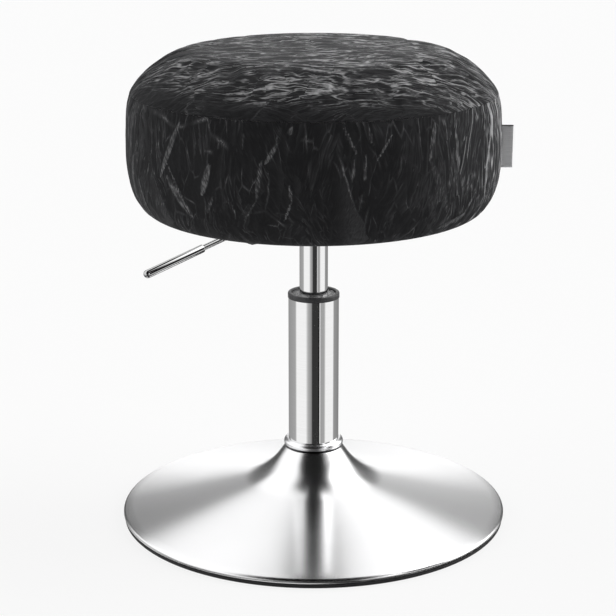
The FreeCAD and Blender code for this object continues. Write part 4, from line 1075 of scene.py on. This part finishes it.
def make_top():
    """Crowned round panel of the cover."""
    bm = bmesh.new()
    bmesh.ops.create_grid(bm, x_segments=104, y_segments=104, size=1.0)
    for vert in bm.verts:
        x, y = vert.co.x, vert.co.y
        spot = Vector((x * math.sqrt(1 - y * y / 2), y * math.sqrt(1 - x * x / 2))) * SEAM_RADIUS
        vert.co = (spot.x, spot.y, crown_height(min(spot.length, SEAM_RADIUS)))
    for shrink, drop in ((SEAM_FOLD, 0.0003), (SEAM_TUCK - SEAM_FOLD, -0.0006)):
        rim, _ = pulled(bm, [edge for edge in bm.edges if edge.is_boundary])
        for vert in rim:
            reach = vert.co.xy.length
            vert.co.xy *= (reach - shrink) / reach
            vert.co.z -= drop
    bmesh.ops.recalc_face_normals(bm, faces=bm.faces[:])
    if max(bm.faces, key=lambda face: face.calc_center_median().z).normal.z < 0:
        bmesh.ops.reverse_faces(bm, faces=bm.faces[:])

    def flattened(co):
        """Pattern lines that run level over the front of the crown."""
        across = 0.5 * max(co.y, 0.0) + 0.7 * min(co.y, 0.0)
        return across + ramped(-co.y, 0.0, 0.06) * (co.z - crown_height(0.0)), 1.5 * co.x

    def sewn(co):
        return co.xy.length > SEAM_RADIUS - SEWN_STRIP

    lay_uv(bm, flattened)
    piece, co, turns = cover_piece("velvet_top", bm, ["seat_cover_top"], sewn)
    x, y, z = co.T
    rise = ramped(z, SEAM_Z + 0.005, 0.016)
    # Painted shade: on the crown's roll down to the seam the pile is calmer and darker, all round but the far right.
    # Painted light: the right half is livelier and paler than the left
    shade = (1 - rise**2 * (3 - 2 * rise)) * ramped(np.abs(y), 0.0, 0.09) * ramped(-x, -0.17, 0.09)
    lively_and_lit = 0.8 - 0.4 * shade + 0.15 * ramped(x, 0.0, 0.12)
    combed_and_lit = 0.92 + 0.06 * np.clip(x / 0.12, -1, 1) - 0.72 * shade
    pucker = seam_pucker(turns, np.abs(SEAM_RADIUS - np.hypot(x, y)))
    press_pile(piece, co[:, :2], top_strokes(random.Random(23)), 0.0007, pucker, lively_and_lit, combed_and_lit)


def make_foam():
    """Foam block inside the cover, with a pocket for the board."""
    inset, pocket, board_top, crown_edge = 0.0035, 0.15, 0.3344, 0.170
    side = [point for point in side_profile(inset) if point[0] > pocket + 0.0005]
    crown = [(radius, crown_height(radius, inset)) for radius in np.linspace(crown_edge, 0.0, 22)]
    profile = [(0.0, board_top), (pocket, board_top), (pocket, side[0][1])] + side[:-2] + crown
    piece = new_piece("foam_block", spun(profile, 96), "seat", FOAM, ["foam_pad"], crease=40)


def make_dust_cloth():
    """Thin black cloth stretched under the board, lapped over the hem."""
    lap, step, top = 0.1357, HEM_RADIUS - 0.0003, SEAT_BOTTOM + 0.002
    low, under = SEAT_BOTTOM - DUST_WALL, top - DUST_WALL
    profile = [(0.0, top), (step, top), (step, SEAT_BOTTOM), (lap, SEAT_BOTTOM), (lap, low)]
    profile += [(step - DUST_WALL, low), (step - DUST_WALL, under), (0.0, under)]
    bm = spun(profile, 96)
    piece = new_piece("stretched_dust_cloth", bm, "seat", DUST_CLOTH, ["dust_cover"], crease=40)


def make_staples():
    """Staples that hold the dust cloth to the hem."""
    count, size, ring, sink, edge = 40, (0.0011, 0.0100, 0.0006), 0.1305, 0.00035, 0.0002
    bm = bmesh.new()
    for number in range(count):
        crown = bmesh.ops.create_cube(bm, size=1.0)["verts"]
        bmesh.ops.scale(bm, verts=crown, vec=size)
        turn = Matrix.Rotation(2 * math.pi * (number + 0.5) / count, 4, "Z")
        place = turn @ Matrix.Translation((ring, 0, SEAT_BOTTOM - DUST_WALL - sink))
        bmesh.ops.transform(bm, matrix=place, verts=crown)
    bmesh.ops.bevel(
        bm, geom=bm.edges[:], offset=edge, segments=1, profile=0.5, affect="EDGES", material=-1
    )
    new_piece("hem_staples", bm, "seat", ZINC, crease=40)


def make_ribbon():
    """Bare folded ribbon sewn into the closing seam: two plies with a soft fold at the outer end."""
    gap, ply, in_seam, rows, cells = 0.00035, 0.0005, 0.0006, 16, 6
    low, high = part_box("label_tab")
    inner, outer = low.x - in_seam, high.x
    bend = gap + ply / 2
    fold = outer - bend
    bm = bmesh.new()
    run = [(inner, -bend)] + [(inner + (fold - inner) * k / cells, -bend) for k in range(1, cells + 1)]
    run += [(fold + bend * math.sin(a), -bend * math.cos(a)) for a in (0.5, 1.05, math.pi / 2, 2.1, 2.65)]
    run += [(fold - (fold - inner) * k / cells, bend) for k in range(cells + 1)]
    chain = [bm.verts.new((x, y, low.z)) for x, y in run]
    edges = [bm.edges.new(pair) for pair in zip(chain, chain[1:])]
    for _ in range(rows):
        verts, edges = pulled(bm, edges)
        bmesh.ops.translate(bm, verts=verts, vec=(0, 0, (high.z - low.z) / rows))
    for vert in bm.verts:
        away = (vert.co.x - inner) / (outer - inner)
        height = (vert.co.z - low.z) / (high.z - low.z)
        vert.co.y += 0.0007 * away * math.sin(3.4 * height + 0.6) - 0.0004 * away**2
    bmesh.ops.recalc_face_normals(bm, faces=bm.faces[:])
    piece = new_piece("folded_ribbon", bm, "seat", RIBBON, ["label_tab"])
    wall = piece.modifiers.new("Ply", "SOLIDIFY")
    wall.thickness = ply
    wall.offset = 0


# Studio

LIGHT_SCALE = 3.0

# Bands of light from low to high: the heights between which each takes over, and its brightness by turn, in degrees
STUDIO_BANDS = [
    (-90, -90, [(-180, 0.8), (5, 0.8), (25, 0.02), (115, 0.02), (135, 0.8), (180, 0.8)]),
    (-58, -50, [(-180, 0.8), (-125, 0.8), (-105, 0.02), (180, 0.02)]),
    (-27, -23, [
        (-180, 0.34), (-136, 0.36), (-92, 0.44), (-84, 1.05), (-36, 1.05), (-26, 0.50), (-10, 0.30), (-6, 0.04),
        (21, 0.04), (22.5, 0.004), (26.5, 0.004), (28, 0.95), (30, 0.95), (32, 0.40), (50, 0.44), (57, 1.05),
        (100, 1.05), (106, 0.36), (150, 0.26), (180, 0.30),
    ]),
    (-12, -6, [
        (-180, 1.3), (-171, 1.3), (-166, 0.08), (-143, 0.08), (-128, 0.9), (-84, 1.2), (-28, 1.0), (-22, 0.1),
        (24, 0.1), (30, 0.9), (52, 1.0), (56, 0.02), (80, 0.02), (84, 1.4), (100, 2.0), (128, 1.1),
        (143, 0.08), (166, 0.08), (171, 1.3), (180, 1.3),
    ]),
    (3, 9, [
        (-180, 1.45), (-170, 1.45), (-163, 0.12), (-141, 0.12), (-123, 1.3), (-46, 1.3), (-30, 0.01), (30, 0.01),
        (44, 1.9), (52, 1.9), (56, 0.02), (80, 0.02), (84, 3.0), (121, 3.0), (141, 0.12), (163, 0.12),
        (170, 1.45), (180, 1.45),
    ]),
    (13, 18, [
        (-180, 0.6), (-168, 0.55), (-160, 0.16), (-140, 0.16), (-122, 1.3), (-50, 1.3), (-34, 0.01), (34, 0.01),
        (46, 1.9), (52, 1.9), (56, 0.02), (80, 0.02), (84, 3.0), (120, 3.0), (140, 0.2), (160, 0.2),
        (168, 0.84), (180, 0.88),
    ]),
    (30, 37, [
        (-180, 1.3), (-120, 1.35), (-64, 1.3), (-48, 0.01), (58, 0.01), (72, 2.2), (86, 3.0), (120, 2.8),
        (150, 1.4), (180, 1.3),
    ]),
    (62, 78, [(-180, 1.2), (180, 1.2)]),
]


def make_floor():
    """Plain pale floor that keeps the stool's shadow."""
    bm = bmesh.new()
    bmesh.ops.create_circle(bm, cap_ends=True, radius=9.0, segments=96)
    floor = placed_mesh("studio_floor", bm)
    finish = Finish("studio_floor", (0.90, 0.90, 0.90), 0.9, Specular_IOR_Level=0.0)
    tree = finish.tree
    seen = maths(tree, "MULTIPLY", finish.add("ShaderNodeLightPath").outputs["Is Camera Ray"], FLOOR_WHITE)
    white = finish.add("ShaderNodeEmission", {"Color": (1, 1, 1, 1), "Strength": 1.0})
    mixed = finish.add(
        "ShaderNodeMixShader", {0: seen, 1: finish.shader.outputs["BSDF"], 2: white.outputs["Emission"]}
    )
    tree.links.new(mixed.outputs["Shader"], tree.nodes["Material Output"].inputs["Surface"])
    floor.data.materials.append(finish.material)
    floor.visible_glossy = False


def make_studio():
    """White to the camera; soft boxes left, right and above with dark flags between them for everything else."""
    world = bpy.data.worlds.new("studio")
    scene.world = world
    world.use_nodes = True
    world.cycles.sampling_method = "NONE"
    tree = world.node_tree
    tree.nodes.clear()
    parts = axes(tree, add_node(tree, "ShaderNodeTexCoord").outputs["Generated"])
    turn = maths(tree, "ARCTAN2", parts["X"], maths(tree, "MULTIPLY", parts["Y"], -1.0))
    share = maths(tree, "ADD", maths(tree, "DIVIDE", turn, 2 * math.pi), 0.5)
    rise = maths(tree, "MULTIPLY", maths(tree, "ARCSINE", parts["Z"]), 180 / math.pi)
    light = None
    for bottom, top, stops in STUDIO_BANDS:
        band = ramp(tree, share, [((angle + 180) / 360, grey / LIGHT_SCALE) for angle, grey in stops])
        light = band if light is None else blend(tree, smooth_step(tree, rise, bottom, top), light, band)
    # A dark flag overhead that narrows from the camera's side to the back
    half_width = smooth_step(tree, parts["Y"], 0.15, 0.40, 0.30, 0.045)
    aside = maths(tree, "DIVIDE", maths(tree, "ABSOLUTE", parts["X"]), half_width)
    clear = maths(tree, "MAXIMUM", smooth_step(tree, aside, 0.7, 1.5), smooth_step(tree, rise, 40.0, 30.0))
    light = blend(tree, clear, (0.01 / LIGHT_SCALE,) * 3, light)
    light = vectors(tree, "SCALE", {0: light, "Scale": LIGHT_SCALE})
    path = add_node(tree, "ShaderNodeLightPath")
    shown = blend(tree, path.outputs["Is Camera Ray"], light, (1.0, 1.0, 1.0))
    source = add_node(tree, "ShaderNodeBackground", {"Color": shown, "Strength": 1.0})
    result = tree.nodes.new("ShaderNodeOutputWorld")
    tree.links.new(source.outputs["Background"], result.inputs["Surface"])


def keep_seat_out_of_mirrors():
    """The photo's base shows the studio and the column, but not the dark seat above them."""
    for piece in scene.objects:
        if piece.type == "MESH" and min(corner[2] for corner in piece.bound_box) > SEAT_UNDERSIDE:
            piece.visible_glossy = False


def make_camera():
    """The photo's view."""
    data = bpy.data.cameras.new("camera")
    data.sensor_width = 36.0
    data.lens = 108.27
    camera = bpy.data.objects.new("camera", data)
    camera.location = (0.0, -1.76307, 0.71638)
    camera.rotation_euler = (math.radians(74.11), 0.0, math.radians(0.182))
    scene.collection.objects.link(camera)
    scene.camera = camera


scene.view_settings.view_transform = "Standard"
make_camera()
dress_cad_nodes()
make_base()
make_cylinder()
make_lever()
make_band()
make_top()
make_foam()
make_dust_cloth()
make_staples()
make_ribbon()
make_floor()
make_studio()
keep_seat_out_of_mirrors()
